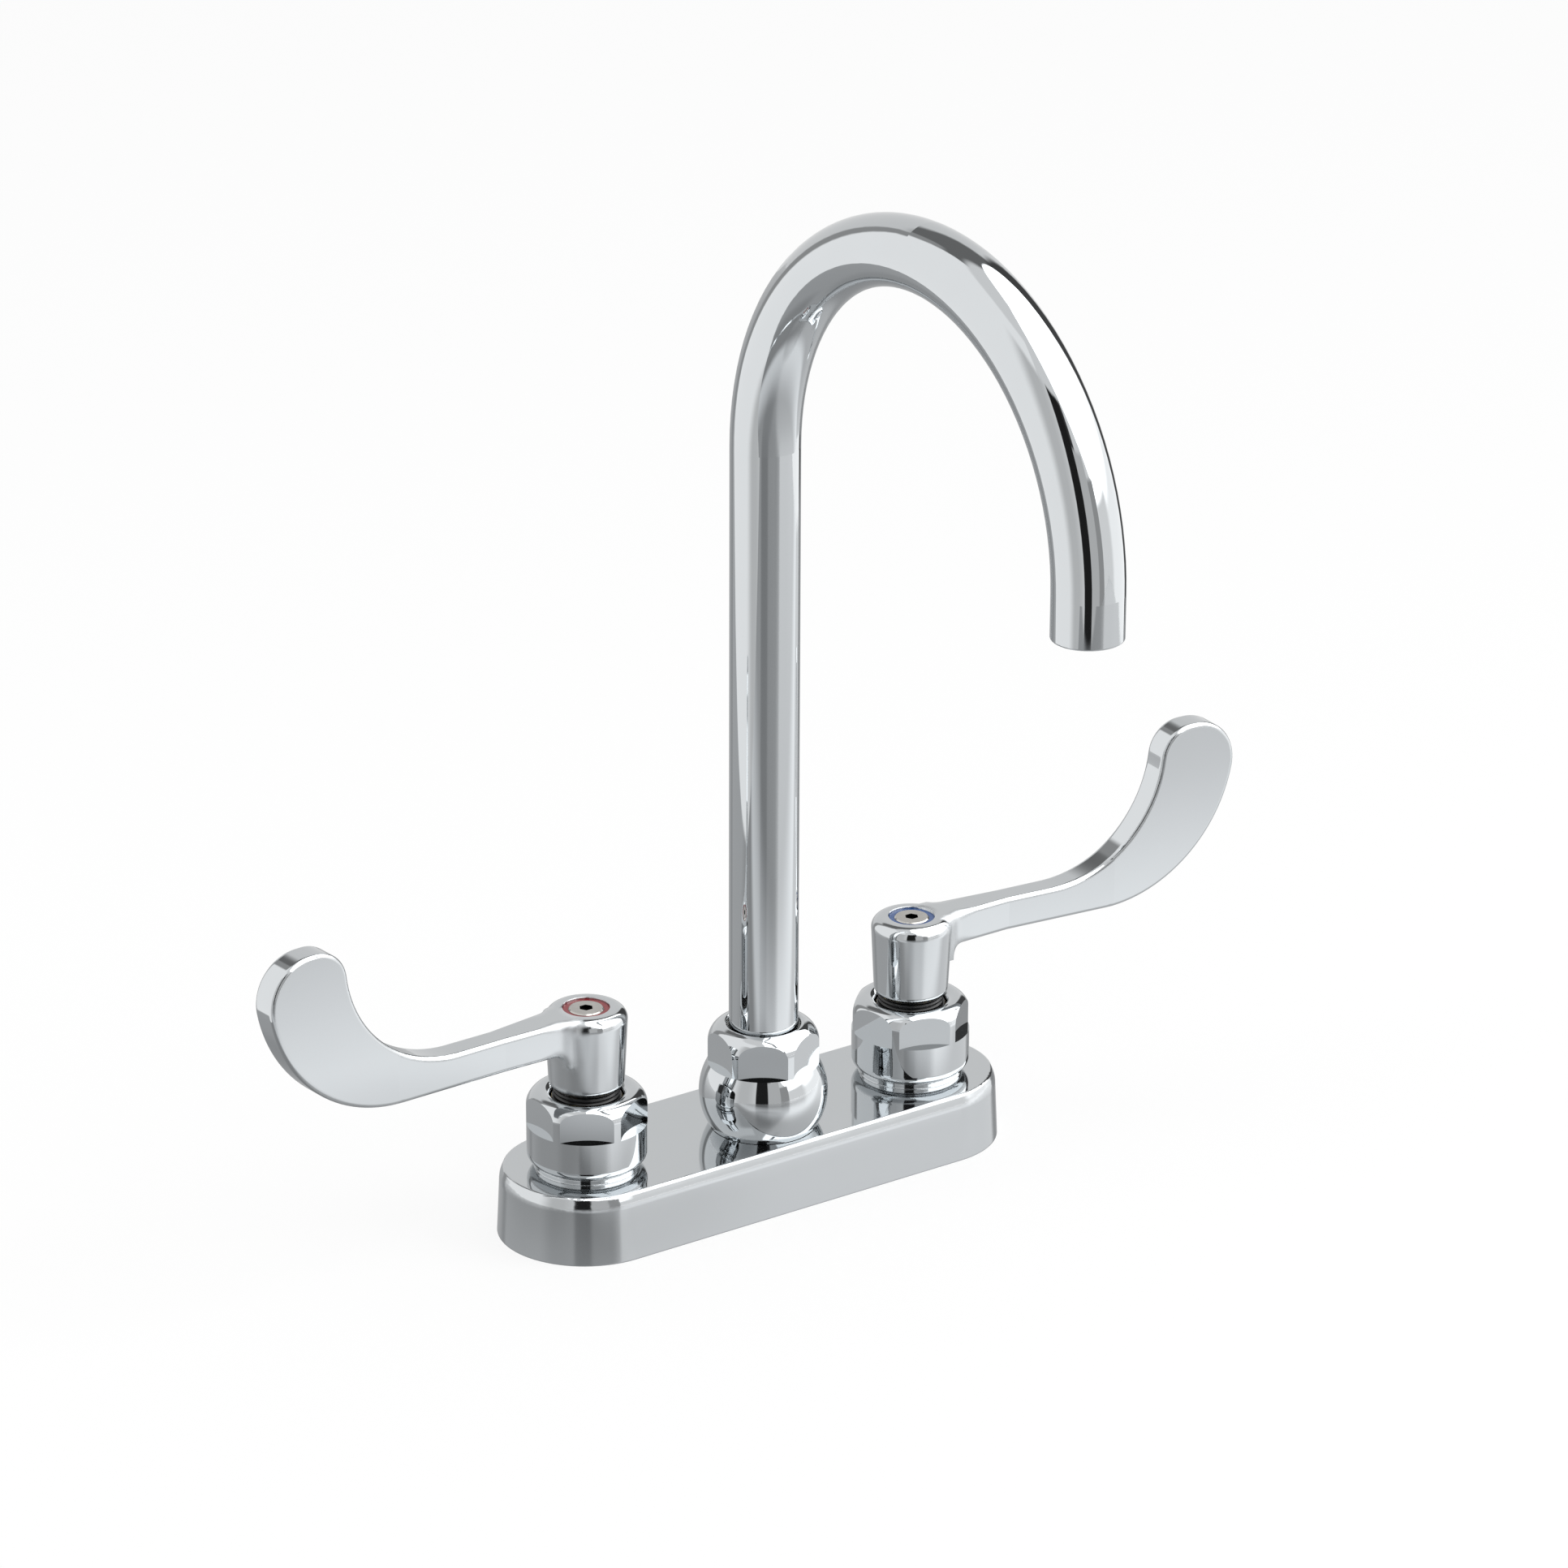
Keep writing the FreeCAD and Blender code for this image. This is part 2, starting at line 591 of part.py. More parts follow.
def make_shank_washer(name, side):
    body = new_body(name + "_shank_washer")
    top = -size("deck_allowance")
    foot = top - size("washer_thickness")
    hole = size("shank_radius") + size("washer_gap")
    outside = size("washer_radius")
    revolve(body, "ring", [(hole, foot), (outside, foot), (outside, top), (hole, top)])
    return put(body, side_x(side))


def add_hexagon(sketch, flats):
    """A hexagon about the origin with two flats facing front and back."""
    corner = flats / math.sqrt(3)
    points = []
    for index in range(6):
        angle = math.radians(60 * index)
        points.append((corner * round(math.cos(angle), 12), corner * round(math.sin(angle), 12)))
    add_outline(sketch, points)


def make_lock_nut(name, side):
    body = new_body(name + "_lock_nut")
    plan = new_sketch(body, "plan", "XY_Plane", lock_nut_foot())
    add_hexagon(plan, size("locknut_flats"))
    add_circle(plan, size("shank_radius") + size("thread_fit"))
    pad(body, "nut", plan, size("locknut_height"))
    return put(body, side_x(side))


# Valve cartridge and its bonnet
def make_bonnet(name, side):
    body = new_body(name + "_bonnet")
    foot = size("base_height") + size("collar_height") + size("bonnet_seat_gap")
    shoulder = size("neck_top") + size("flange_thickness") + size("bonnet_seat_gap")
    top = size("bonnet_top")
    outside = size("bonnet_radius")
    thread = size("neck_radius") + size("thread_fit")
    hole = size("bonnet_hole_radius")
    shell = revolve(body, "shell", [
        (thread, foot), (outside, foot), (outside, top), (hole, top), (hole, shoulder),
        (thread, shoulder),
    ])
    crown = fillet(body, "crown", shell, ring_at(top, outside), size("bonnet_crown_round"))
    rim = fillet(body, "rim", crown, ring_at(top, hole), size("bonnet_rim_round"))
    skirt = fillet(body, "foot", rim, ring_at(foot, outside), size("bonnet_foot_round"))
    add_flats(body, skirt, size("bonnet_flat_distance"), outside, size("bonnet_ledge"), top)
    return put(body, side_x(side), turn_angle=BONNET_TURN[name])


def add_flats(body, feature, distance, outside, ledge, top):
    """Six wrench flats that end below in a straight ledge."""
    plan = new_sketch(body, "flat_plan", "XY_Plane", ledge)
    beyond = outside + BEYOND
    half = distance * round(math.tan(math.radians(30)), 9) + BEYOND
    add_rectangle(plan, -half, -beyond, half, -distance)
    flat = pocket(body, "flat", plan, top - ledge + BEYOND)
    return pattern(body, "flats", flat, 6)


def make_cartridge_housing(name, side):
    body = new_body(name + "_cartridge_housing")
    foot = size("housing_foot")
    top = size("housing_top")
    flange = size("neck_top")
    flange_top = flange + size("flange_thickness")
    seal = size("housing_seal_bottom")
    barrel = size("well_radius") - size("housing_fit")
    lower = size("housing_lower_radius")
    upper = size("housing_top_radius")
    chamber = size("chamber_radius")
    bearing = size("stem_radius") + size("stem_fit")
    roof = size("chamber_roof")
    revolve(body, "barrel", [
        (chamber, foot), (lower, foot), (lower, seal), (barrel, seal), (barrel, flange),
        (size("flange_radius"), flange), (size("flange_radius"), flange_top), (upper, flange_top),
        (upper, top), (bearing, top), (bearing, roof), (chamber, roof),
    ])
    add_groove(body, "oring_groove", barrel, size("housing_oring_height"), size("oring_section"),
               size("oring_groove_depth"))
    window = new_sketch(body, "window_outline", "XZ_Plane")
    half = size("window_width") / 2
    add_rectangle(window, -half, size("window_bottom"), half, size("window_top"))
    pocket(body, "windows", window, size("well_radius") * 2, midplane=True)
    return put(body, side_x(side))


def add_groove(body, name, outside, middle, section, depth):
    """A square groove around a shaft for an o-ring."""
    half = section * ORING_GROOVE / 2
    bottom = outside - depth
    beyond = outside + BEYOND
    low = middle - half
    high = middle + half
    return revolve(body, name, [(bottom, low), (beyond, low), (beyond, high), (bottom, high)], cut=True)


def make_oring(name, outside, section, middles):
    """Rubber rings whose outer edge is at one radius, one at each height."""
    body = new_body(name)
    radius = section / 2
    for index, middle in enumerate(middles):
        sketch = new_sketch(body, "section%d" % index, "XZ_Plane")
        add_circle(sketch, radius, outside - radius, middle)
        turn(body, "ring%d" % index, sketch)
    return body


def make_housing_oring(name, side):
    outside = size("well_radius") - size("housing_fit") / 2
    body = make_oring(name + "_housing_oring", outside, size("oring_section") * ORING_SEATED,
                      [size("housing_oring_height")])
    return put(body, side_x(side))


def disc_heights():
    """Deck to the underside of the fixed disc, of the moving disc and of the driver."""
    fixed = size("valve_floor") + size("seat_seal_thickness")
    moving = fixed + size("disc_thickness") + size("disc_film")
    driver = moving + size("disc_thickness") + size("disc_film")
    return fixed, moving, driver


def make_seat_seal(name, side):
    body = new_body(name + "_seat_seal")
    foot = size("valve_floor")
    top = foot + size("seat_seal_thickness")
    bore = size("seat_seal_bore")
    outside = size("disc_radius")
    revolve(body, "ring", [(bore, foot), (outside, foot), (outside, top), (bore, top)])
    return put(body, side_x(side))


def make_disc(label, foot, port_turn):
    """A ceramic disc with two sector ports opposite each other."""
    body = new_body(label)
    blank = new_sketch(body, "blank_plan", "XY_Plane", foot)
    add_circle(blank, size("disc_radius"))
    pad(body, "blank", blank, size("disc_thickness"))
    half = plain(size("disc_port_angle")) / 2
    outer = size("disc_port_outer")
    inner = size("disc_port_inner")
    for index, middle in enumerate((port_turn, port_turn + 180)):
        port = new_sketch(body, "port%d_plan" % index, "XY_Plane", foot)
        wide = add_arc(port, (0, 0), outer, middle - half, middle + half)
        narrow = add_arc(port, (0, 0), inner, middle - half, middle + half)
        for arc in (wide, narrow):
            port.addConstraint(Sketcher.Constraint("Coincident", arc, 3, -1, 1))
        for end in (1, 2):
            angle = math.radians(middle + (half if end == 2 else -half))
            here = Vector(math.cos(angle), math.sin(angle), 0)
            side = port.addGeometry(Part.LineSegment(here * plain(inner), here * plain(outer)), False)
            port.addConstraint(Sketcher.Constraint("Coincident", side, 1, narrow, end))
            port.addConstraint(Sketcher.Constraint("Coincident", side, 2, wide, end))
            port.addConstraint(Sketcher.Constraint("PointOnObject", -1, 1, side))
            turned = port.addConstraint(Sketcher.Constraint("Angle", -1, 1, side, 1, angle))
            lean = size("disc_port_angle") * (0.5 if end == 2 else -0.5) + middle
            port.setExpression("Constraints[%d]" % turned, lean.text + " * 1 deg")
        pocket(body, "port%d" % index, port, size("disc_thickness"))
    return body


def make_fixed_disc(name, side):
    body = make_disc(name + "_fixed_disc", disc_heights()[0], 0)
    return put(body, side_x(side))


def make_moving_disc(name, side):
    foot = disc_heights()[1]
    body = make_disc(name + "_moving_disc", foot, 90)
    half = size("disc_slot_width") / 2
    reach = size("disc_radius") + BEYOND
    slot_foot = foot + size("disc_thickness") - size("disc_slot_depth")
    slot = new_sketch(body, "slot_plan", "XY_Plane", slot_foot)
    add_rectangle(slot, -reach, -half, reach, half)
    pocket(body, "slot", slot, size("disc_slot_depth"))
    return put(body, side_x(side))


def make_stem(name, side):
    body = new_body(name + "_stem")
    plate_foot = disc_heights()[2]
    plate_top = plate_foot + size("stem_plate_thickness")
    collar_top = size("chamber_roof") - size("stem_fit")
    shaft = size("stem_radius")
    spline = size("spline_radius")
    tapped = size("screw_radius") + size("screw_fit")
    tapped_foot = size("stem_top") - size("screw_length")
    axis = Length(0, "0")
    plate = size("stem_plate_radius")
    collar = size("stem_collar_radius")
    shoulder = size("stem_shoulder")
    top = size("stem_top")
    revolve(body, "shaft", [
        (axis, plate_foot), (plate, plate_foot), (plate, plate_top), (collar, plate_top),
        (collar, collar_top), (shaft, collar_top), (shaft, shoulder), (spline, shoulder),
        (spline, top), (tapped, top), (tapped, tapped_foot), (axis, tapped_foot),
    ])
    section = size("stem_oring_section")
    add_groove(body, "oring_groove", shaft, size("stem_oring_height"), section, section * STEM_GROOVE)
    clip_half = size("clip_thickness") / 2 + size("clip_gap")
    clip_low = size("clip_height") - clip_half
    clip_high = size("clip_height") + clip_half
    inner = shaft - size("clip_groove_depth")
    revolve(body, "clip_groove", [
        (inner, clip_low), (shaft + BEYOND, clip_low), (shaft + BEYOND, clip_high), (inner, clip_high),
    ], cut=True)

    # Tang that drives the moving disc
    reach = size("stem_plate_radius") - size("stem_fit") * 6
    half = size("disc_slot_width") / 2 - size("stem_fit")
    drop = size("disc_slot_depth") - size("stem_fit")
    tang = new_sketch(body, "tang_plan", "XY_Plane", plate_foot - drop)
    add_rectangle(tang, -reach, -half, reach, half)
    pad(body, "tang", tang, drop)

    # Splines for the handle
    depth = size("spline_depth")
    flute = new_sketch(body, "flute_plan", "XY_Plane", shoulder)
    add_outline(flute, [(spline - depth, 0), (spline + depth, -depth), (spline + depth, depth)])
    cut = pocket(body, "flute", flute, top - shoulder + BEYOND)
    pattern(body, "splines", cut, size("spline_count"))
    return put(body, side_x(side))


def make_stem_oring(name, side):
    section = size("stem_oring_section") * ORING_SEATED
    body = make_oring(name + "_stem_oring", size("stem_radius") + size("stem_fit") / 2, section,
                      [size("stem_oring_height")])
    return put(body, side_x(side))


def make_stem_clip(name, side):
    """A snap ring with a gap, in the stem's groove above the cartridge."""
    body = new_body(name + "_stem_clip")
    inner = size("stem_radius") - size("clip_groove_depth") + size("clip_gap")
    foot = size("clip_height") - size("clip_thickness") / 2
    plan = new_sketch(body, "plan", "XY_Plane", foot)
    add_circle(plan, size("clip_radius"))
    add_circle(plan, inner)
    pad(body, "ring", plan, size("clip_thickness"))
    mouth = new_sketch(body, "mouth_plan", "XY_Plane", foot)
    half = size("clip_mouth_width") / 2
    add_rectangle(mouth, -half, -(size("clip_radius") + BEYOND), half, Length(0, "0"))
    pocket(body, "mouth", mouth, size("clip_thickness"))
    return put(body, side_x(side))


def make_dust_ring(name, side):
    body = new_body(name + "_dust_ring")
    seat = size("housing_top")
    foot = size("neck_top") + size("flange_thickness") + size("dust_ring_lift")
    top = size("hub_foot") - size("handle_gap")
    outside = size("dust_ring_radius")
    bore = size("dust_ring_bore")
    skirt = size("dust_ring_skirt")
    inside = size("housing_top_radius") + size("dust_ring_fit")
    line = size("dust_ring_groove")
    middle = (seat + top) / 2
    revolve(body, "ring", [
        (bore, seat), (inside, seat), (inside, foot), (skirt, foot), (skirt, seat), (outside, seat),
        (outside, middle - line), (outside - line, middle), (outside, middle + line),
        (outside, top - line), (outside - line, top), (bore, top),
    ])
    return put(body, side_x(side))


# Handles
def make_lever(name, side):
    """Hub, arm and wrist blade in one casting; it lies along its own +X axis."""
    body = new_body(name + "_lever")
    foot = size("arm_foot")
    top = size("hub_height")
    reach = size("blade_reach")
    outer = size("blade_outer_radius")
    inner = size("blade_inner_radius")
    outer_corner = size("blade_outer_corner")
    inner_corner = size("blade_inner_corner")
    web = size("arm_web_round")
    hub = size("hub_foot_radius")

    side_view = new_sketch(body, "side_view", "XZ_Plane")
    outer_middle = (reach - outer, foot + outer)
    inner_middle = (reach - size("blade_width") - inner, top + inner)
    outer_corner_up = size("blade_top") - outer_corner
    rise = plain(outer_corner_up) - plain(outer_middle[1])
    span = plain(outer) - plain(outer_corner)
    outer_corner_across = plain(outer_middle[0]) + math.sqrt(span * span - rise * rise)
    outer_turn = math.degrees(math.asin(rise / span))
    inner_corner_up = size("blade_top") - inner_corner
    inner_rise = plain(inner_corner_up) - plain(inner_middle[1])
    inner_span = plain(inner) + plain(inner_corner)
    inner_run = math.sqrt(inner_span * inner_span - inner_rise * inner_rise)
    inner_corner_across = plain(inner_middle[0]) + inner_run
    inner_turn = math.degrees(math.asin(inner_rise / inner_span))

    web_arc = add_arc(side_view, (hub + web, foot - web), web, 90, 180)
    under = side_view.addGeometry(Part.LineSegment(
        Vector(plain(hub + web), plain(foot), 0), Vector(plain(outer_middle[0]), plain(foot), 0)), False)
    sweep = add_arc(side_view, outer_middle, outer, -90, outer_turn)
    corner_far = add_arc(side_view, (outer_corner_across, outer_corner_up), outer_corner, outer_turn, 90)
    tip = side_view.addGeometry(Part.LineSegment(
        Vector(outer_corner_across, plain(size("blade_top")), 0),
        Vector(inner_corner_across, plain(size("blade_top")), 0)), False)
    corner_near = add_arc(
        side_view, (inner_corner_across, inner_corner_up), inner_corner, 90, 180 + inner_turn)
    hollow = add_arc(side_view, inner_middle, inner, -90, inner_turn)
    over = side_view.addGeometry(Part.LineSegment(
        Vector(plain(inner_middle[0]), plain(top), 0), Vector(0, plain(top), 0)), False)
    inside = side_view.addGeometry(Part.LineSegment(
        Vector(0, plain(top), 0), Vector(0, plain(foot - web), 0)), False)
    floor = side_view.addGeometry(Part.LineSegment(
        Vector(0, plain(foot - web), 0), Vector(plain(hub), plain(foot - web), 0)), False)
    for first, one, second, two in (
        (web_arc, 1, under, 1),
        (under, 2, sweep, 1),
        (sweep, 2, corner_far, 1),
        (corner_far, 2, tip, 1),
        (tip, 2, corner_near, 1),
        (corner_near, 2, hollow, 2),
        (hollow, 1, over, 1),
    ):
        side_view.addConstraint(Sketcher.Constraint("Tangent", first, one, second, two))
    for first, one, second, two in ((over, 2, inside, 1), (inside, 2, floor, 1), (floor, 2, web_arc, 2)):
        side_view.addConstraint(Sketcher.Constraint("Coincident", first, one, second, two))
    for line in (under, tip, over, floor):
        side_view.addConstraint(Sketcher.Constraint("Horizontal", line))
    fix_point(side_view, inside, 1, 0, top)
    fix_point(side_view, inside, 2, 0, None)
    fix_point(side_view, under, 1, None, foot)
    fix_point(side_view, tip, 1, None, size("blade_top"))
    fix_point(side_view, sweep, 3, outer_middle[0], None)
    fix_point(side_view, hollow, 3, inner_middle[0], None)
    fix_point(side_view, web_arc, 3, hub + web, None)
    fix_point(side_view, floor, 2, None, foot - web)
    widest = size("blade_thickness") + size("blade_offset") * 2 + size("arm_thickness")
    pad(body, "blank", side_view, widest, midplane=True)

    # Seen from above, the arm narrows from a flare at the hub and leads to the offset blade
    taper = new_sketch(body, "taper_plan", "XY_Plane")
    bend = size("arm_flare_distance")
    flare = size("arm_flare_radius")
    waist_at = size("arm_narrow_distance")
    far = reach + BEYOND
    for sign in (1, -1):
        shoulder = size("arm_shoulder_width") / 2 * sign
        waist = size("arm_thickness") / 2 * sign
        wide = size("arm_flare_width") / 2 * sign
        blade = size("blade_thickness") / 2 * sign - size("blade_offset")
        lean = math.atan2(abs(plain(shoulder) - plain(waist)), plain(waist_at) - plain(bend))
        middle = (plain(bend) + plain(flare) * math.sin(lean),
                  plain(shoulder) + plain(flare) * math.cos(lean) * sign)
        turned = math.acos(abs(middle[1] - plain(wide)) / plain(flare))
        start, end = sorted((sign * (-90 - math.degrees(turned)), sign * (-90 - math.degrees(lean))))
        curve = add_arc(taper, middle, flare, start, end)
        near, away = (1, 2) if sign > 0 else (2, 1)
        meets = middle[0] - plain(flare) * math.sin(turned)
        lines = add_chain(taper, [
            (bend, shoulder, None), (waist_at, waist, None), (size("blade_full_distance"), blade, None),
            (far, blade, None), (far, widest * sign, None), (0, widest * sign, None), (0, wide, None),
            (None, wide, meets),
        ])
        taper.addConstraint(Sketcher.Constraint("Tangent", curve, away, lines[0], 1))
        taper.addConstraint(Sketcher.Constraint("Coincident", lines[-1], 2, curve, near))
    thinned = pocket(body, "taper", taper, size("blade_top") * 3, midplane=True)

    def arm_edge(edge):
        box = edge.BoundBox
        beyond_hub = box.XMax > plain(hub) + BEYOND / 2
        crosswise = box.YMin * box.YMax < 0
        return beyond_hub and not crosswise and not upright(edge)

    fillet(body, "edges", thinned, arm_edge, size("blade_edge_round"))

    # Hub, turned around the stem's axis
    crown = size("hub_height")
    turn(body, "hub", add_hub_profile(body, hub, size("hub_top_radius"), crown))

    # Index recess above, screw hole, splined socket and hollow below
    recess = new_sketch(body, "index_recess_plan", "XY_Plane", crown - size("index_recess_depth"))
    add_circle(recess, size("index_recess_radius"))
    pocket(body, "index_recess", recess, size("index_recess_depth") + BEYOND)
    hole = new_sketch(body, "screw_hole_plan", "XY_Plane")
    add_circle(hole, size("screw_radius") + size("screw_clearance"))
    pocket(body, "screw_hole", hole, crown)
    socket = new_sketch(body, "socket_plan", "XY_Plane")
    add_circle(socket, size("spline_radius") + size("stem_fit"))
    pocket(body, "socket", socket, size("stem_top") - size("hub_foot") + size("stem_fit"))
    under_hub = new_sketch(body, "hollow_plan", "XY_Plane")
    add_circle(under_hub, size("hub_recess_radius"))
    pocket(body, "hub_hollow", under_hub, size("hub_recess_depth"))
    return place_on_handle(body, side, size("hub_foot"))


def add_hub_profile(body, foot_radius, top_radius, height):
    """Half section of the hub: a slightly leaning side between two rounded edges."""
    sketch = new_sketch(body, "hub_profile", "XZ_Plane")
    low_round = size("hub_foot_round")
    high_round = size("hub_top_round")
    low = (plain(foot_radius), plain(low_round))
    high = (plain(top_radius), plain(height - high_round))

    def line(start, end):
        return sketch.addGeometry(Part.LineSegment(Vector(*start, 0), Vector(*end, 0)), False)

    foot = line((0, 0), (plain(foot_radius - low_round), 0))
    low_arc = add_arc(sketch, (foot_radius - low_round, low_round), low_round, -90, 0)
    side = line(low, high)
    high_arc = add_arc(sketch, (top_radius - high_round, height - high_round), high_round, 0, 90)
    top = line((plain(top_radius - high_round), plain(height)), (0, plain(height)))
    axis = line((0, plain(height)), (0, 0))
    for first, second in ((foot, low_arc), (low_arc, side), (side, high_arc), (high_arc, top)):
        sketch.addConstraint(Sketcher.Constraint("Tangent", first, 2, second, 1))
    for first, second in ((top, axis), (axis, foot)):
        sketch.addConstraint(Sketcher.Constraint("Coincident", first, 2, second, 1))
    for level in (foot, top):
        sketch.addConstraint(Sketcher.Constraint("Horizontal", level))
    sketch.addConstraint(Sketcher.Constraint("Coincident", foot, 1, -1, 1))
    fix_point(sketch, axis, 1, 0, height)
    fix_point(sketch, side, 1, foot_radius, None)
    fix_point(sketch, side, 2, top_radius, None)
    return sketch


def upright(edge):
    box = edge.BoundBox
    return box.XLength < SAME and box.YLength < SAME


def lever_angle(side):
    """Heading of a closed lever, seen from above, from +X."""
    sweep = size("lever_sweep_angle")
    return -sweep if side > 0 else sweep + 180


def place_on_handle(body, side, up):
    return put(body, side_x(side), 0, up, lever_angle(side))


def make_index_ring(name, side):
    body = new_body(name + "_index_ring")
    foot = size("hub_foot") + size("hub_height") - size("index_recess_depth")
    plan = new_sketch(body, "plan", "XY_Plane")
    add_circle(plan, size("index_recess_radius") - size("index_fit"))
    add_circle(plan, size("screw_head_radius") + size("index_fit"))
    pad(body, "ring", plan, size("index_ring_thickness"))
    return put(body, side_x(side), 0, foot)


def make_handle_screw(name, side):
    body = new_body(name + "_handle_screw")
    seat = size("hub_foot") + size("hub_height") - size("index_recess_depth")
    head = size("index_recess_depth") - size("screw_head_stand")
    shank = size("screw_radius")
    outside = size("screw_head_radius")
    tip = size("stem_top") - size("screw_length") + size("screw_fit") * 4 - seat
    axis = Length(0, "0")
    blank = revolve(body, "blank", [
        (axis, tip), (shank, tip), (shank, axis), (outside, axis), (outside, head), (axis, head),
    ])
    chamfer = body.newObject("PartDesign::Chamfer", "head_edge")
    chamfer.Base = (blank, edges_where(blank, ring_at(head, outside)))
    bind(chamfer, "Size", size("screw_head_stand") * 2)
    key = new_sketch(body, "key_plan", "XY_Plane", head - size("screw_socket_depth"))
    add_hexagon(key, size("screw_socket_flats"))
    pocket(body, "key", key, size("screw_socket_depth") + BEYOND)
    return put(body, side_x(side), 0, seat)


# Spout
def make_spout_nut():
    body = new_body("spout_nut")
    foot = size("base_height") + size("bonnet_seat_gap")
    top = size("spout_nut_top")
    outside = size("spout_nut_radius")
    hole = size("spout_nut_hole_radius")
    ledge = size("spout_nut_ledge")
    lip = top - size("spout_nut_lip")
    cavity = size("cup_radius") + size("cup_side_gap")
    thread = size("post_radius") + size("thread_fit")
    ball = size("ball_radius")
    middle = size("ball_height")
    below = plain(middle) - plain(foot)
    above = plain(ledge) - plain(middle)
    low_radius = math.sqrt(plain(ball) ** 2 - below ** 2)
    high_radius = math.sqrt(plain(ball) ** 2 - above ** 2)

    profile = new_sketch(body, "profile", "XZ_Plane")
    start = math.degrees(math.asin(-below / plain(ball)))
    end = math.degrees(math.asin(above / plain(ball)))
    skirt = add_arc(profile, (0, middle), ball, start, end)
    shoulder = size("spout_nut_round")
    shoulder_foot = top - shoulder
    shoulder_end = math.degrees(math.acos((plain(hole) - plain(outside - shoulder)) / plain(shoulder)))
    rim = plain(shoulder_foot) + plain(shoulder) * math.sin(math.radians(shoulder_end))

    # Each corner is a radius, a height and a first guess where one of them follows from an arc
    outer_side = [(None, ledge, high_radius), (outside, ledge, None), (outside, shoulder_foot, None)]
    inner_side = [
        (hole, None, rim), (hole, lip, None), (cavity, lip, None), (cavity, size("post_top"), None),
        (thread, size("post_top"), None), (thread, foot, None), (None, foot, low_radius),
    ]

    outer_lines = add_chain(profile, outer_side)
    crown = add_arc(profile, (outside - shoulder, shoulder_foot), shoulder, 0, shoulder_end)
    inner_lines = add_chain(profile, inner_side)
    profile.addConstraint(Sketcher.Constraint("Coincident", skirt, 2, outer_lines[0], 1))
    profile.addConstraint(Sketcher.Constraint("Tangent", outer_lines[-1], 2, crown, 1))
    profile.addConstraint(Sketcher.Constraint("Coincident", crown, 2, inner_lines[0], 1))
    profile.addConstraint(Sketcher.Constraint("Coincident", inner_lines[-1], 2, skirt, 1))
    fix_point(profile, skirt, 3, 0, middle)
    shell = turn(body, "shell", profile)

    def at_rim(edge):
        box = edge.BoundBox
        level = box.ZMin > plain(lip) + SAME and box.ZLength < SAME
        return level and abs(box.XMax - plain(hole)) < SAME

    rounded = fillet(body, "rim", shell, at_rim, size("spout_nut_rim_round"))
    add_flats(body, rounded, size("spout_nut_flat_distance"), outside, ledge, top)
    return put(body, 0, spout_y, 0, SPOUT_NUT_TURN)


def cup_levels():
    """Deck to the ferrule's seat, to the tube's foot and to the rim of the cup."""
    seat = size("post_top") + size("cup_gap")
    tube_foot = seat + size("cup_floor")
    washer_room = size("slip_washer_thickness") + size("slip_gap") * 2
    rim = size("spout_nut_top") - size("spout_nut_lip") - washer_room
    return seat, tube_foot, rim


def make_slip_washer():
    body = new_body("spout_slip_washer")
    foot = cup_levels()[2] + size("slip_gap")
    inner = size("tube_radius") + size("slip_gap") * 2
    plan = new_sketch(body, "plan", "XY_Plane", foot)
    add_circle(plan, size("cup_radius"))
    add_circle(plan, inner)
    pad(body, "ring", plan, size("slip_washer_thickness"))
    return put(body, 0, spout_y)


def spout_oring_heights():
    low = size("spout_oring_low")
    return [low, low + size("spout_oring_pitch")]


def make_spout_ferrule():
    body = new_body("spout_ferrule")
    seat, tube_foot, rim = cup_levels()
    foot = size("ferrule_foot")
    bore = size("ferrule_bore_radius")
    barrel = size("post_bore_radius") - size("ferrule_fit")
    cup = size("cup_radius")
    inside = size("tube_radius") + size("tube_fit")
    revolve(body, "turned", [
        (bore, foot), (barrel, foot), (barrel, seat), (cup, seat), (cup, rim), (inside, rim),
        (inside, tube_foot), (bore, tube_foot),
    ])
    depth = size("oring_groove_depth")
    for index, middle in enumerate(spout_oring_heights()):
        add_groove(body, "groove%d" % index, barrel, middle, size("oring_section"), depth)
    return put(body, 0, spout_y)


def make_spout_orings():
    outside = size("post_bore_radius") - size("ferrule_fit") / 2
    section = size("oring_section") * ORING_SEATED
    body = make_oring("spout_orings", outside, section, spout_oring_heights())
    return put(body, 0, spout_y)


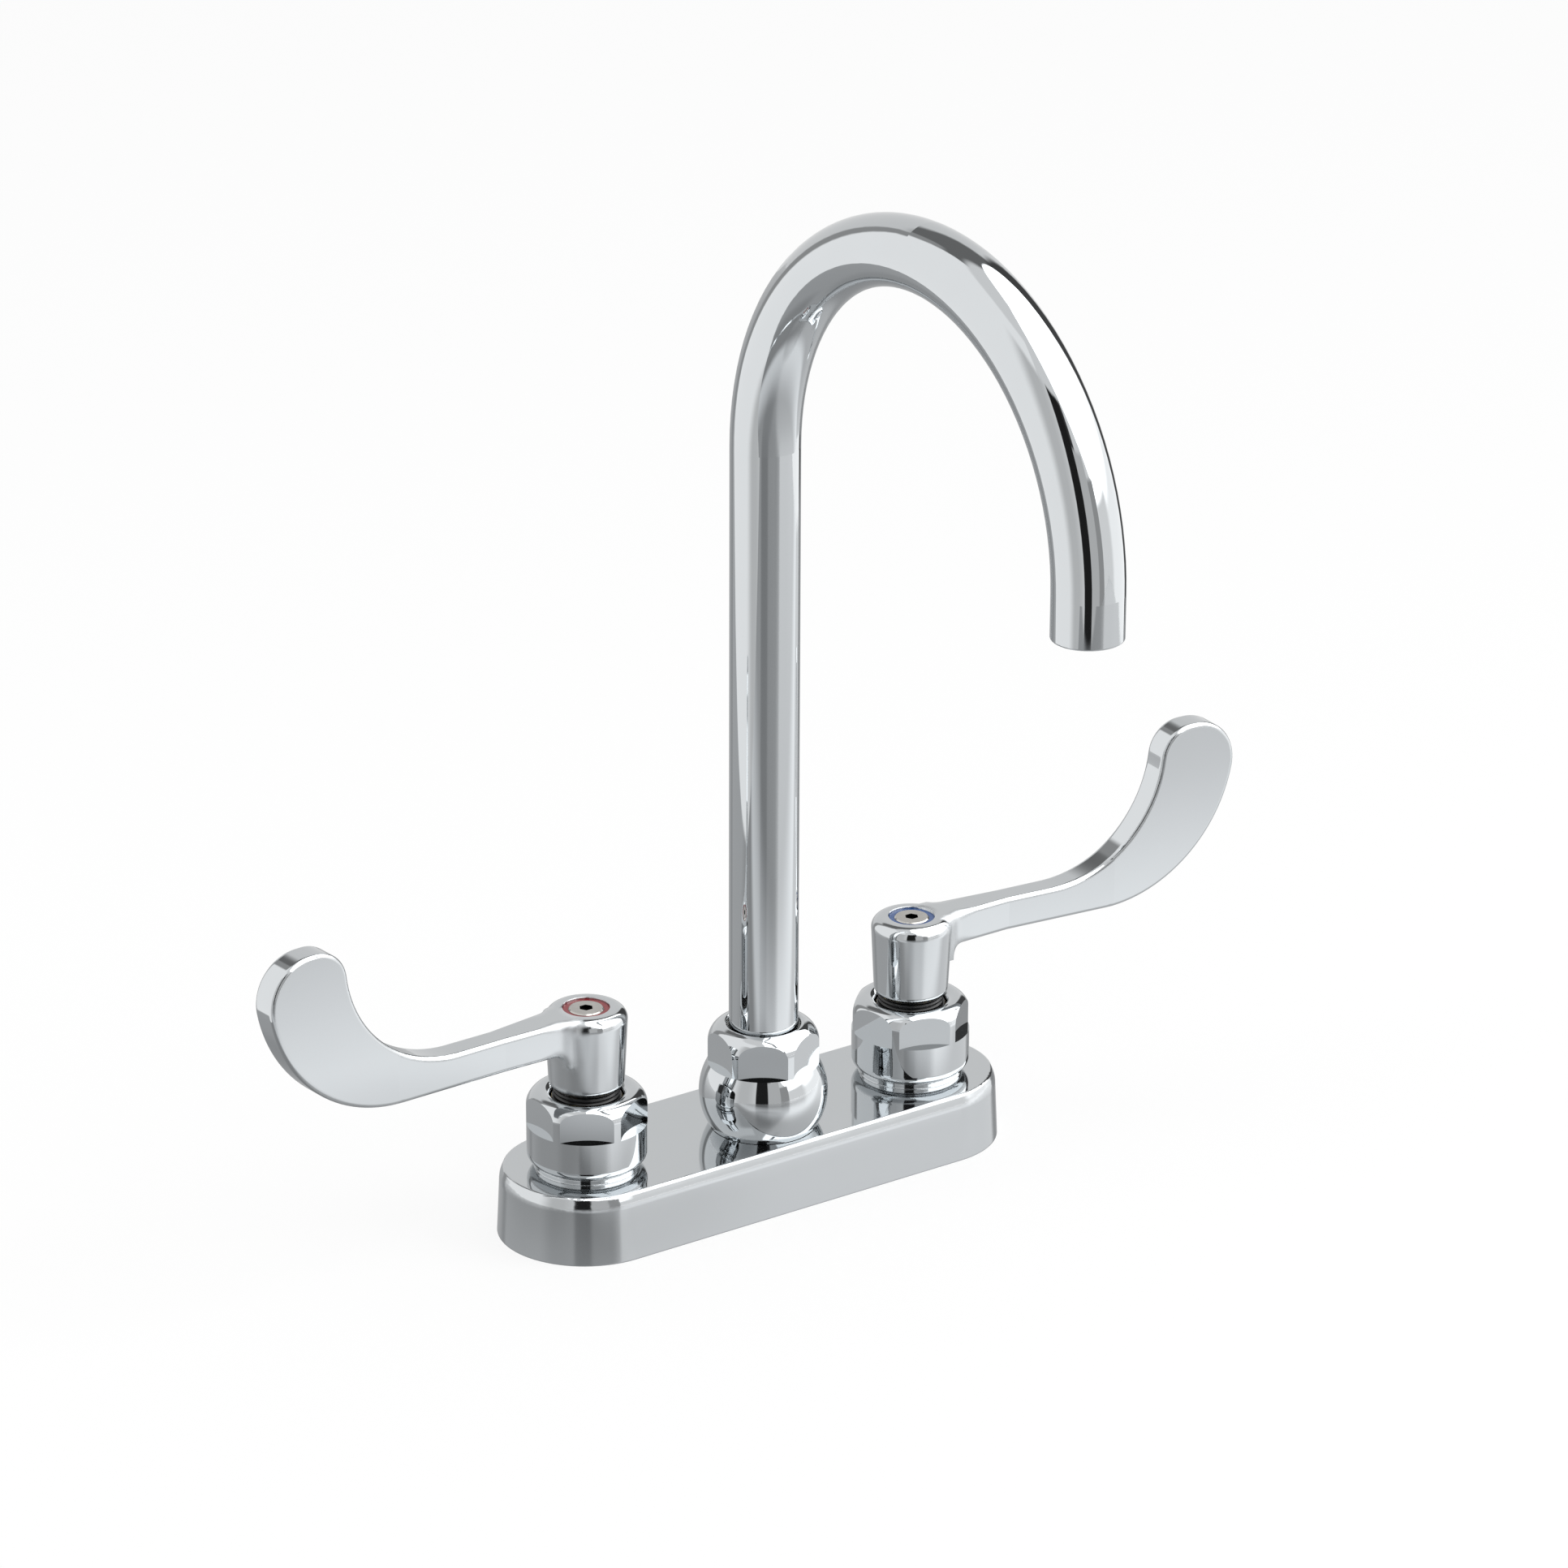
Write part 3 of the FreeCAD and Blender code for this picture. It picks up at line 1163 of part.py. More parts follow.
def make_spout_tube():
    """Straight riser, bend and short straight outlet in one tube."""
    body = new_body("spout_tube")
    foot = cup_levels()[1]
    rise = size("gooseneck_radius")
    fall = size("gooseneck_outlet_radius")
    outlet = size("outlet_height")
    crest = outlet + size("outlet_straight") + fall
    start = crest - rise
    path = new_sketch(body, "path", "YZ_Plane")
    far = plain(-(rise + fall))
    riser = path.addGeometry(Part.LineSegment(
        Vector(0, plain(foot), 0), Vector(0, plain(start), 0)), False)
    first = add_arc(path, (-rise, start), rise, 0, 90)
    second = add_arc(path, (-rise, crest - fall), fall, 90, 180)
    drop = path.addGeometry(Part.LineSegment(
        Vector(far, plain(crest - fall), 0), Vector(far, plain(outlet), 0)), False)
    for one, two in ((riser, first), (first, second), (second, drop)):
        path.addConstraint(Sketcher.Constraint("Tangent", one, 2, two, 1))
    path.addConstraint(Sketcher.Constraint("Vertical", drop))
    fix_point(path, riser, 1, 0, foot)
    fix_point(path, riser, 2, 0, start)
    fix_point(path, second, 3, -rise, None)
    fix_point(path, drop, 2, None, outlet)
    section = new_sketch(body, "section", "XY_Plane", foot)
    add_circle(section, size("tube_radius"))
    add_circle(section, size("tube_radius") - size("tube_wall"))
    pipe = body.newObject("PartDesign::AdditivePipe", "bent_tube")
    pipe.Profile = section
    pipe.Spine = path
    doc.recompute()
    tube = plain(size("tube_radius"))

    def outlet_rim(edge):
        box = edge.BoundBox
        return abs(box.ZMax - plain(outlet)) < SAME and abs(box.XMax - tube) < SAME

    fillet(body, "outlet_edge", pipe, outlet_rim, size("outlet_round"))
    return put(body, 0, spout_y)


def at_outlet(body):
    """Puts a body that is modelled about the outlet's middle in its place."""
    reach = size("gooseneck_radius") + size("gooseneck_outlet_radius")
    return put(body, 0, spout_y - reach, size("outlet_height"))


def aerator_outside():
    return size("tube_radius") - size("tube_wall") - size("aerator_fit")


def make_aerator_housing():
    body = new_body("aerator_housing")
    low = size("aerator_inset")
    high = low + size("aerator_length")
    outside = aerator_outside()
    inside = outside - size("aerator_wall")
    step = low + size("aerator_lip")
    mouth = inside - size("aerator_lip")
    revolve(body, "shell", [
        (mouth, low), (outside, low), (outside, high), (inside, high), (inside, step), (mouth, step),
    ])
    return at_outlet(body)


def make_flow_straightener():
    body = new_body("flow_straightener")
    foot = size("aerator_inset") + size("aerator_lip")
    plan = new_sketch(body, "plan", "XY_Plane", foot)
    add_circle(plan, aerator_outside() - size("aerator_wall") - size("aerator_fit"))
    pad(body, "plug", plan, size("straightener_length"))
    middle = new_sketch(body, "middle_hole_plan", "XY_Plane", foot)
    add_circle(middle, size("straightener_hole_radius"))
    pocket(body, "middle_hole", middle, size("straightener_length"))
    rings = (
        ("inner", size("straightener_inner_ring"), size("straightener_inner_count")),
        ("outer", size("straightener_outer_ring"), size("straightener_outer_count")),
    )
    for name, distance, count in rings:
        hole = new_sketch(body, name + "_hole_plan", "XY_Plane", foot)
        add_circle(hole, size("straightener_hole_radius"), distance, 0)
        cut = pocket(body, name + "_hole", hole, size("straightener_length"))
        pattern(body, name + "_holes", cut, count)
    return at_outlet(body)


def make_aerator_washer():
    body = new_body("aerator_washer")
    low = size("aerator_inset") + size("aerator_length")
    high = low + size("aerator_washer_thickness")
    outside = aerator_outside()
    inside = outside - size("aerator_wall") - size("aerator_lip")
    revolve(body, "ring", [(inside, low), (outside, low), (outside, high), (inside, high)])
    return at_outlet(body)


# How far each nut happens to be tightened, in degrees
BONNET_TURN = {"hot": -33.6, "cold": -20.7}
SPOUT_NUT_TURN = -35.5

SINGLE_PARTS = [
    make_base_casting, make_deck_gasket, make_spout_nut, make_slip_washer, make_spout_tube,
    make_spout_ferrule, make_spout_orings, make_aerator_housing, make_flow_straightener,
    make_aerator_washer,
]
VALVE_PARTS = [
    make_inlet_shank, make_shank_washer, make_lock_nut, make_bonnet, make_cartridge_housing,
    make_housing_oring, make_seat_seal, make_fixed_disc, make_moving_disc, make_stem,
    make_stem_oring, make_stem_clip, make_dust_ring, make_lever, make_index_ring, make_handle_screw,
]

parts = [make() for make in SINGLE_PARTS]
for side_name, side_sign in SIDES:
    parts += [make(side_name, side_sign) for make in VALVE_PARTS]
doc.recompute()

# Nothing is written unless every object is sound
faults = [item.Name for item in doc.Objects if "Invalid" in item.State or "Error" in item.State]
for part in parts:
    if part.Shape.isNull() or not part.Shape.isValid():
        faults.append(part.Label)
if faults:
    raise SystemExit("not sound: " + ", ".join(faults))
for part in parts:
    part.Shape.exportStep(os.path.join("parts", part.Label + ".step"))
    print(part.Label, len(part.Shape.Solids), "solid(s)", round(part.Shape.Volume, 1), "mm3")
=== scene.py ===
# %% [markdown]
# # Dressing a basin faucet
# The solids come from a CAD model in real sizes, in metres, with +Z up and the deck at z = 0.
# This lesson gives them their finishes, cuts the threads of the two inlet shanks, and sets up the
# small studio in which polished chrome is photographed. Chrome has no colour of its own: what it
# shows is the room, so most of the work is in the room.

# %% Load the solids
import json
import math

import bmesh
import bpy
from mathutils import Matrix, Vector


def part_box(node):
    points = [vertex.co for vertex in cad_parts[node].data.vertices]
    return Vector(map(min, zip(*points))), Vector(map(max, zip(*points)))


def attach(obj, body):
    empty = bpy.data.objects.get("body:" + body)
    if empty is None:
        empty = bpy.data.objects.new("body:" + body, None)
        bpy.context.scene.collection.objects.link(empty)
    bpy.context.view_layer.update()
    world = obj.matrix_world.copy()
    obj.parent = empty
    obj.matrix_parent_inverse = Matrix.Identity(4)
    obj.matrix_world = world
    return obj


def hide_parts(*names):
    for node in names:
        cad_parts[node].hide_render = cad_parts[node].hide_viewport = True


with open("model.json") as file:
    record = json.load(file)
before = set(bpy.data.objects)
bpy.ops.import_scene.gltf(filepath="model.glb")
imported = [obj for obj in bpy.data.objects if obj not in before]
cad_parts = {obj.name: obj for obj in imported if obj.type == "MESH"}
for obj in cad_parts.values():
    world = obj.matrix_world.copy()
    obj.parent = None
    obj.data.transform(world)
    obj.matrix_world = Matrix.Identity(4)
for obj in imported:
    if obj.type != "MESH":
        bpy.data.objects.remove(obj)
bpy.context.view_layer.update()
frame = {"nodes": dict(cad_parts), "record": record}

nodes = frame["nodes"]
record = frame["record"]

# %% [markdown]
# ## Two helpers
# Colours are chosen on screen as sRGB hex values, but shaders work with linear light, so one
# function turns the first into the second. A second one adds a shader node of any kind, sets it up
# and links it, which keeps each recipe below down to the lines that matter.

# %% Colour and node helpers
def linear(hex_colour):
    """An sRGB hex value, such as C2C5C7, as the linear colour that a shader takes."""
    shares = [int(hex_colour[at:at + 2], 16) / 255 for at in (0, 2, 4)]
    return [s / 12.92 if s <= 0.04045 else ((s + 0.055) / 1.055) ** 2.4 for s in shares] + [1.0]


def add_node(tree, kind, sockets=None, output=None, **settings):
    """Adds one node: settings go to the node, sockets get a number, a colour or a link. Gives back
    the node, or the output that is named."""
    node = tree.nodes.new(kind)
    for name, value in settings.items():
        setattr(node, name, value)
    for name, value in (sockets or {}).items():
        if isinstance(value, bpy.types.NodeSocket):
            tree.links.new(value, node.inputs[name])
        else:
            node.inputs[name].default_value = value
    return node.outputs[output] if output else node


MM = 0.001
NOISE = "ShaderNodeTexNoise"
BUMP = "ShaderNodeBump"
MIX = "ShaderNodeMix"
MATH = "ShaderNodeMath"
VECTOR_MATH = "ShaderNodeVectorMath"
RAMP = "ShaderNodeMapRange"
SPLIT = "ShaderNodeSeparateXYZ"
print("a mid grey in linear light:", round(linear("808080")[0], 3))

# %% [markdown]
# ## A blank material
# Every finish starts as one Principled shader. Patterns are measured from the object's own
# coordinates, which are metres here, so a pattern's scale is one over its size in metres.

# %% Material blank
def blank_material(name, **values):
    """A material with one Principled shader; values are its plain sockets."""
    material = bpy.data.materials.new(name)
    material.use_nodes = True
    tree = material.node_tree
    tree.nodes.clear()
    shader = add_node(tree, "ShaderNodeBsdfPrincipled", values)
    add_node(tree, "ShaderNodeOutputMaterial", {"Surface": shader.outputs["BSDF"]})
    place = add_node(tree, "ShaderNodeTexCoord", output="Object")
    return material, tree, shader, place


def per_metre(size_mm):
    return 1.0 / (size_mm * MM)


print("a pattern of 2 mm has a scale of", per_metre(2.0))

# %% [markdown]
# ## Worn edges
# A polishing wheel rounds every edge that it meets. A Bevel modifier could cut such rounds into the
# mesh, but on solids from CAD it trips over their many thin triangles. A Bevel node only bends the
# shading across an edge, on top of the rounds that the solids have, and asks nothing of the mesh.
#
# On a lever the arm and the hub are cast in one, and flow into each other. There the radius grows
# to a few millimetres, with the distance from the valve's axis. The two distances below are
# measured outward along the arm and in all directions, so that the blend stays at the hub's outer
# side.

# %% Worn edges
# where the blend starts and where it is full, in mm: outward from the axis, and then in all
BLEND_RANGES_MM = [(4.5, 6.5), (18.0, 13.0)]


def from_valve(tree, place):
    """A point's distance from the axis of the valve on its side, outward and in all."""
    low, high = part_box("hot_index_ring")
    valve_x = abs(low[0] + high[0]) / 2
    xyz = add_node(tree, SPLIT, {"Vector": place})
    aside = add_node(tree, MATH, {0: xyz.outputs["X"]}, "Value", operation="ABSOLUTE")
    outward = add_node(tree, MATH, {0: aside, 1: valve_x}, "Value", operation="SUBTRACT")
    flat = add_node(tree, "ShaderNodeCombineXYZ", {"X": outward, "Y": xyz.outputs["Y"]}, "Vector")
    return outward, add_node(tree, VECTOR_MATH, {0: flat}, "Value", operation="LENGTH")


def edge_radius(tree, place, worn_edge, blend):
    """The worn edge's radius, which grows to the blend's where the arm leaves the hub."""
    share = 1.0
    for distance, (none_mm, all_mm) in zip(from_valve(tree, place), BLEND_RANGES_MM):
        ramp = add_node(tree, RAMP, {"Value": distance, "From Min": none_mm * MM,
                                     "From Max": all_mm * MM}, "Result")
        share = add_node(tree, MATH, {0: ramp, 1: share}, "Value", operation="MULTIPLY")
    return add_node(tree, MATH, {0: share, 1: blend - worn_edge, 2: worn_edge}, "Value",
                    operation="MULTIPLY_ADD")


print("the blend starts", BLEND_RANGES_MM[0][0], "mm outward of the valve's axis")

# %% [markdown]
# ## Bright chromium plate
# Faucet brass is polished on cloth wheels, plated with nickel and then with a thin film of
# chromium. Chromium sends back a little more than half of the light, slightly cool, and is almost
# a mirror. One roughness for all of it would be the short way, and would look like plastic film.
# Two things keep it from that: the haze of the last polish, some places a little softer than
# others, and the faint swell that the wheel leaves in the metal. The casting is sanded before it
# is polished, so its haze, swell and worn edges are larger than those of the tube and the nuts.

# %% Chromium plate
CHROME_HEX = "C3C6C8"
CHROME_PALE_GAIN = 1.02
HAZE_SIZE_MM = 9.0
SWELL_SIZE_MM = 14.0
# a noise texture's values lie mostly between these two
NOISE_LOW, NOISE_HIGH = 0.3, 0.7
BEVEL_SAMPLES = 6


def chromium(name, haze, swell_mm, worn_edge_mm=0.0, blend_mm=0.0):
    """Chromium plate: haze is its lowest and highest roughness, swell how deep the wheel dips."""
    material, tree, shader, place = blank_material(name, Metallic=1.0)
    cloud = add_node(tree, NOISE, {"Vector": place, "Scale": per_metre(HAZE_SIZE_MM), "Detail": 3.0},
                     "Fac")
    soft = add_node(tree, RAMP, {"Value": cloud, "From Min": NOISE_LOW, "From Max": NOISE_HIGH,
                                 "To Min": haze[0], "To Max": haze[1]}, "Result")
    tree.links.new(soft, shader.inputs["Roughness"])
    chrome = linear(CHROME_HEX)
    pale = [min(1.0, share * CHROME_PALE_GAIN) for share in chrome]
    tint = add_node(tree, MIX, {"Factor": cloud, "A": chrome, "B": pale}, "Result", data_type="RGBA")
    tree.links.new(tint, shader.inputs["Base Color"])
    swell = add_node(tree, NOISE, {"Vector": place, "Scale": per_metre(SWELL_SIZE_MM), "Detail": 1.0},
                     "Fac")
    bump = add_node(tree, BUMP, {"Height": swell, "Distance": swell_mm * MM, "Strength": 1.0})
    if worn_edge_mm:
        worn = add_node(tree, "ShaderNodeBevel", {"Radius": worn_edge_mm * MM},
                        samples=BEVEL_SAMPLES)
        if blend_mm:
            radius = edge_radius(tree, place, worn_edge_mm * MM, blend_mm * MM)
            tree.links.new(radius, worn.inputs["Radius"])
        tree.links.new(worn.outputs["Normal"], bump.inputs["Normal"])
    tree.links.new(bump.outputs["Normal"], shader.inputs["Normal"])
    return material


finishes = {
    "bright_chrome": chromium("bright_chromium_plate", haze=(0.015, 0.04), swell_mm=0.004),
    "cast_chrome": chromium("chromium_plate_on_the_casting", haze=(0.04, 0.09), swell_mm=0.008,
                            worn_edge_mm=0.5),
}
lever_chrome = chromium("bright_chromium_plate_on_the_levers", haze=(0.015, 0.04), swell_mm=0.004,
                        worn_edge_mm=0.4, blend_mm=3.0)
print("chrome finishes:", len(finishes) + 1)

# %% [markdown]
# ## Turned and plated metal
# The shanks, cartridges, stems and nuts are brass as it comes off the lathe: a warm metal with
# fine rings, one for each turn of the tool. The washers are steel with a thin zinc plate, grey and
# slightly mottled. The screws are stainless steel. All of them could be one plain metal in three
# colours, but the rings are what tells a turned piece from a cast one. They are drawn 0.35 mm
# apart, about twice as coarse as the real ones, which would be too fine to see.

# %% Turned and plated metal
TOOL_RINGS_MM = 0.35
MOTTLE_MM = 3.0
# the roughness swings between these shares of its middle value
SMOOTHER, ROUGHER = 0.8, 1.25


def turned_metal(name, hex_light, hex_dark, roughness, ring_depth_mm):
    material, tree, shader, place = blank_material(name, Metallic=1.0)
    ring_scale = per_metre(TOOL_RINGS_MM) / (2 * math.pi)
    rings = add_node(tree, "ShaderNodeTexWave", {"Vector": place, "Scale": ring_scale}, "Fac",
                     wave_type="BANDS", bands_direction="Z")
    mottle = add_node(tree, NOISE, {"Vector": place, "Scale": per_metre(MOTTLE_MM), "Detail": 2.0},
                      "Fac")
    colour = add_node(tree, MIX, {"Factor": mottle, "A": linear(hex_light), "B": linear(hex_dark)},
                      "Result", data_type="RGBA")
    tree.links.new(colour, shader.inputs["Base Color"])
    soft = add_node(tree, RAMP, {"Value": mottle, "From Min": NOISE_LOW, "From Max": NOISE_HIGH,
                                 "To Min": roughness * SMOOTHER, "To Max": roughness * ROUGHER},
                    "Result")
    tree.links.new(soft, shader.inputs["Roughness"])
    bump = add_node(tree, BUMP, {"Height": rings, "Distance": ring_depth_mm * MM, "Strength": 1.0},
                    "Normal")
    tree.links.new(bump, shader.inputs["Normal"])
    return material


finishes["brass_turned"] = turned_metal("turned_brass", "D3BC86", "CBB279", 0.26, 0.003)
finishes["zinc_steel"] = turned_metal("zinc_plated_steel", "BFC2C4", "A3A6AA", 0.34, 0.002)
finishes["stainless_screw"] = turned_metal("stainless_steel", "BDBBB7", "ABA8A3", 0.20, 0.002)
print("metals:", [finishes[slot].name for slot in ("brass_turned", "zinc_steel", "stainless_screw")])

# %% [markdown]
# ## Painted shade in the sockets
# A hex socket is narrow and deep and keeps the light out, so it reads as a black dot. That shade is
# painted into the colour. A second material on the socket's own faces would do it, but the solids
# come with one material slot each. So the screw's colour turns dark below its rim and near its own
# axis, as painted shade.

# %% Painted shade in the sockets
# painted shade: the dark colour given to the inside of the hex socket
SOCKET_SHADE_HEX = "1A1817"
SOCKET_RADIUS_MM = 2.0
SOCKET_RIM_MM = 0.1


def paint_socket_shade(material, screw):
    low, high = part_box(screw)
    tree = material.node_tree
    shader = [node for node in tree.nodes if node.type == "BSDF_PRINCIPLED"][0]
    place = [node for node in tree.nodes if node.type == "TEX_COORD"][0].outputs["Object"]
    height = add_node(tree, SPLIT, {"Vector": place}, "Z")
    outward, away = from_valve(tree, place)
    inside = add_node(tree, MATH, {0: away, 1: SOCKET_RADIUS_MM * MM}, "Value", operation="LESS_THAN")
    below = add_node(tree, MATH, {0: height, 1: high[2] - SOCKET_RIM_MM * MM}, "Value",
                     operation="LESS_THAN")
    in_socket = add_node(tree, MATH, {0: inside, 1: below}, "Value", operation="MULTIPLY")
    metal = shader.inputs["Base Color"].links[0].from_socket
    # painted shade: the screw's colour turns dark inside its socket, where shade falls
    shaded_metal = add_node(tree, MIX, {"Factor": in_socket, "A": metal, "B": linear(SOCKET_SHADE_HEX)}, "Result",
                      data_type="RGBA")
    tree.links.new(shaded_metal, shader.inputs["Base Color"])


paint_socket_shade(finishes["stainless_screw"], "hot_handle_screw")
print("socket:", 2 * SOCKET_RADIUS_MM, "mm wide")

# %% [markdown]
# ## Moulded plastic and rubber
# Moulded pieces copy the wall of their mould, so they carry an even fine grain: coarse and dull on
# rubber, finer on acetal plastic, almost none on the enamel rings and the ground ceramic discs.
# Plastic, rubber and enamel bend light by about 1.5 and alumina by 1.76, and what changes between
# them is the colour, the gloss and the grain. One recipe therefore makes them all.

# %% Moulded plastic and rubber
def moulded(name, hex_light, hex_dark, roughness, grain_mm, grain_depth_mm, ior):
    material, tree, shader, place = blank_material(name, Roughness=roughness, IOR=ior)
    grain = add_node(tree, NOISE, {"Vector": place, "Scale": per_metre(grain_mm), "Detail": 5.0,
                                   "Roughness": 0.6}, "Fac")
    colour = add_node(tree, MIX, {"Factor": grain, "A": linear(hex_light), "B": linear(hex_dark)},
                      "Result", data_type="RGBA")
    tree.links.new(colour, shader.inputs["Base Color"])
    bump = add_node(tree, BUMP, {"Height": grain, "Distance": grain_depth_mm * MM, "Strength": 1.0},
                    "Normal")
    tree.links.new(bump, shader.inputs["Normal"])
    return material


finishes["black_rubber"] = moulded("black_rubber", "2A2A2B", "1C1C1D", 0.62, 0.5, 0.02, 1.52)
finishes["black_plastic"] = moulded("black_acetal", "0E0F10", "090A0A", 0.30, 0.8, 0.004, 1.48)
finishes["white_plastic"] = moulded("white_acetal", "E6E5E0", "DAD9D3", 0.38, 0.8, 0.006, 1.48)
finishes["disc_ceramic"] = moulded("alumina_ceramic", "E9E6DD", "DFDBD0", 0.16, 0.4, 0.001, 1.76)
finishes["hot_index"] = moulded("red_enamel", "8E262C", "7C1F25", 0.30, 1.2, 0.004, 1.52)
finishes["cold_index"] = moulded("blue_enamel", "33578F", "2A4A80", 0.30, 1.2, 0.004, 1.52)
print("finishes:", sorted(finishes))

# %% [markdown]
# ## Put the finishes on the solids
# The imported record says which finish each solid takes, so the solids keep their meshes and only
# swap the material in their slots.

# %% Assign the finishes
for part in record["subparts"]:
    solid = nodes[part["node"]].data
    solid.materials.clear()
    lever = part["node"].endswith("_lever")
    solid.materials.append(lever_chrome if lever else finishes[part["material_slot"]])
print("dressed solids:", len(record["subparts"]))

# %% [markdown]
# ## Threaded inlet shanks
# Under the deck each valve has a half inch brass shank. Its thread has 14 turns to the inch and is
# about 1.1 mm deep, and it runs from just under the base to the foot. The CAD solid is a plain
# tube, so this piece stands for it. Its outside is thinner at the tail, for the supply nut, and the
# thread runs out over one turn at both ends, so that the piece stays as long as the solid.

# %% The thread's profile
TURNS_PER_INCH = 14.0
THREAD_PITCH = 25.4 * MM / TURNS_PER_INCH
THREAD_DEPTH = 1.1 * MM
THREAD_TOP = -2.0 * MM
TAIL_RADIUS = 10.2 * MM
TAIL_TOP = -30.5 * MM


def crest_radius(z, outside):
    """The shank's uncut outside at a height."""
    return TAIL_RADIUS if z < TAIL_TOP else outside


def cut_depth(z, foot):
    """Full depth along the thread, running out over one turn at both ends."""
    room = min(THREAD_TOP - z, z - foot) / THREAD_PITCH
    return THREAD_DEPTH * max(0.0, min(1.0, room))


print("pitch of the thread:", round(THREAD_PITCH / MM, 3), "mm")

# %% [markdown]
# ## The shanks' meshes
# A Screw modifier would turn a thread's profile quickly, but leaves its ends open. Here rings of
# points are stacked up the outside, each point's distance from the axis follows one wave for each
# turn, and the last rings go down the bore, which closes the mesh. Rows a tenth of a turn apart
# are enough for a rolled thread, whose crests and roots are round.

# %% Threaded inlet shanks
BORE_RADIUS = 7.2 * MM
ROWS_PER_TURN = 10
POINTS_AROUND = 64
SHARP_ANGLE = math.radians(60.0)


def threaded_shank(side):
    low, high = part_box(side + "_inlet_shank")
    axis_x, axis_y = (low[0] + high[0]) / 2, (low[1] + high[1]) / 2
    outside = (high[0] - low[0]) / 2
    foot, top = low[2], high[2]
    rows = math.ceil((THREAD_TOP - foot) / THREAD_PITCH * ROWS_PER_TURN)
    heights = [foot + (THREAD_TOP - foot) * row / rows for row in range(rows + 1)] + [top]
    mesh = bmesh.new()
    rings = []
    for z in heights + [top, foot]:
        bore = len(rings) >= len(heights)
        ring = []
        for step in range(POINTS_AROUND):
            angle = 2 * math.pi * step / POINTS_AROUND
            wave = 0.5 + 0.5 * math.cos(2 * math.pi * z / THREAD_PITCH - angle)
            radius = BORE_RADIUS if bore else crest_radius(z, outside) - cut_depth(z, foot) * wave
            ring.append(mesh.verts.new((axis_x + radius * math.cos(angle),
                                        axis_y + radius * math.sin(angle), z)))
        rings.append(ring)
    for below, above in zip(rings, rings[1:] + rings[:1]):
        for step in range(POINTS_AROUND):
            after = (step + 1) % POINTS_AROUND
            mesh.faces.new((below[step], below[after], above[after], above[step]))
    bmesh.ops.recalc_face_normals(mesh, faces=mesh.faces)
    shape = bpy.data.meshes.new(side + "_threaded_shank")
    mesh.to_mesh(shape)
    mesh.free()
    shape.shade_smooth()
    shape.set_sharp_from_angle(angle=SHARP_ANGLE)
    shape.materials.append(finishes["brass_turned"])
    shank = bpy.data.objects.new(side + "_threaded_shank", shape)
    bpy.context.scene.collection.objects.link(shank)
    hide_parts(side + "_inlet_shank")
    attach(shank, "base")
    turns = (THREAD_TOP - foot) / THREAD_PITCH
    print(shank.name, len(shape.polygons), "faces,", round(turns, 1), "turns")


for side in ("hot", "cold"):
    threaded_shank(side)

# %% [markdown]
# ## The floor
# The faucet stands on a sheet of glass over white paper. To the camera the sheet is the white of
# the paper behind it, and it keeps the soft shadow under the base. A mirror-like object also looks
# down on it, and sees what a photographer's table really looks like: bright in front, greyer beside
# and behind the object and in the shade of the spout, glossy, and ending at its edges, past which
# the studio goes on. A plain white plane would leave chrome without the dark bars that it has in
# the photograph.

# %% The edges of the sheet
CAMERA_SIDE = math.radians(-125.0)
# each edge: the distance at which the sheet is gone, and the one at which it is whole, in metres.
# The left edge slants, and goes further left towards the front.
LEFT_EDGE = (-0.251, -0.239)
LEFT_EDGE_SLANT = 0.62
FRONT_EDGE = (0.63, 0.61)
RIGHT_EDGE = (0.515, 0.485)


def sheet_outline(tree, x, y):
    """1 on the sheet of glass and 0 past its edges."""
    forward = add_node(tree, MATH, {0: y, 1: -1.0}, "Value", operation="MULTIPLY")
    ahead = add_node(tree, MATH, {0: forward, 1: 0.0}, "Value", operation="MAXIMUM")
    from_left = add_node(tree, MATH, {0: ahead, 1: LEFT_EDGE_SLANT, 2: x}, "Value",
                         operation="MULTIPLY_ADD")
    sideways = add_node(tree, MATH, {0: x, 1: math.cos(CAMERA_SIDE)}, "Value", operation="MULTIPLY")
    toward_camera = add_node(tree, MATH, {0: y, 1: math.sin(CAMERA_SIDE), 2: sideways}, "Value",
                             operation="MULTIPLY_ADD")
    outline = 1.0
    for distance, (gone, whole) in ((from_left, LEFT_EDGE), (toward_camera, FRONT_EDGE),
                                    (x, RIGHT_EDGE)):
        inside = add_node(tree, RAMP, {"Value": distance, "From Min": gone, "From Max": whole},
                          "Result", interpolation_type="SMOOTHSTEP")
        outline = add_node(tree, MATH, {0: outline, 1: inside}, "Value", operation="MULTIPLY")
    return outline


print("the sheet reaches", FRONT_EDGE[1], "m towards the camera")

# %% [markdown]
# ## The paper under the glass
# How bright the paper looks in chrome depends on how much of the room the object hides from it. A
# renderer can work that out from lamps, but the room of cards is one that only chrome sees. So the
# levels are listed: one for each side of the faucet, with soft changes between them, and a
# round shade below the spout.

# %% The level of the paper
# the level at the left end, and each change on the way from there: along which axis, where it
# starts and where it is complete, in metres, and the new level
LEFT_END_LEVEL = 0.28
LEVEL_CHANGES = [
    ("X", -0.110, -0.060, 0.42),
    ("Y", -0.045, -0.085, 0.92),
    ("Y", -0.085, -0.225, 0.38),
    ("Y", 0.030, 0.090, 0.40),
]
# the spout's shade: its middle, how far it is full, where it ends, and what it leaves of the level
SPOUT_SHADE_AT = (-0.045, -0.065, 0.0)
SPOUT_SHADE_FULL, SPOUT_SHADE_END = 0.030, 0.060
SPOUT_SHADE_SHARE = 0.75


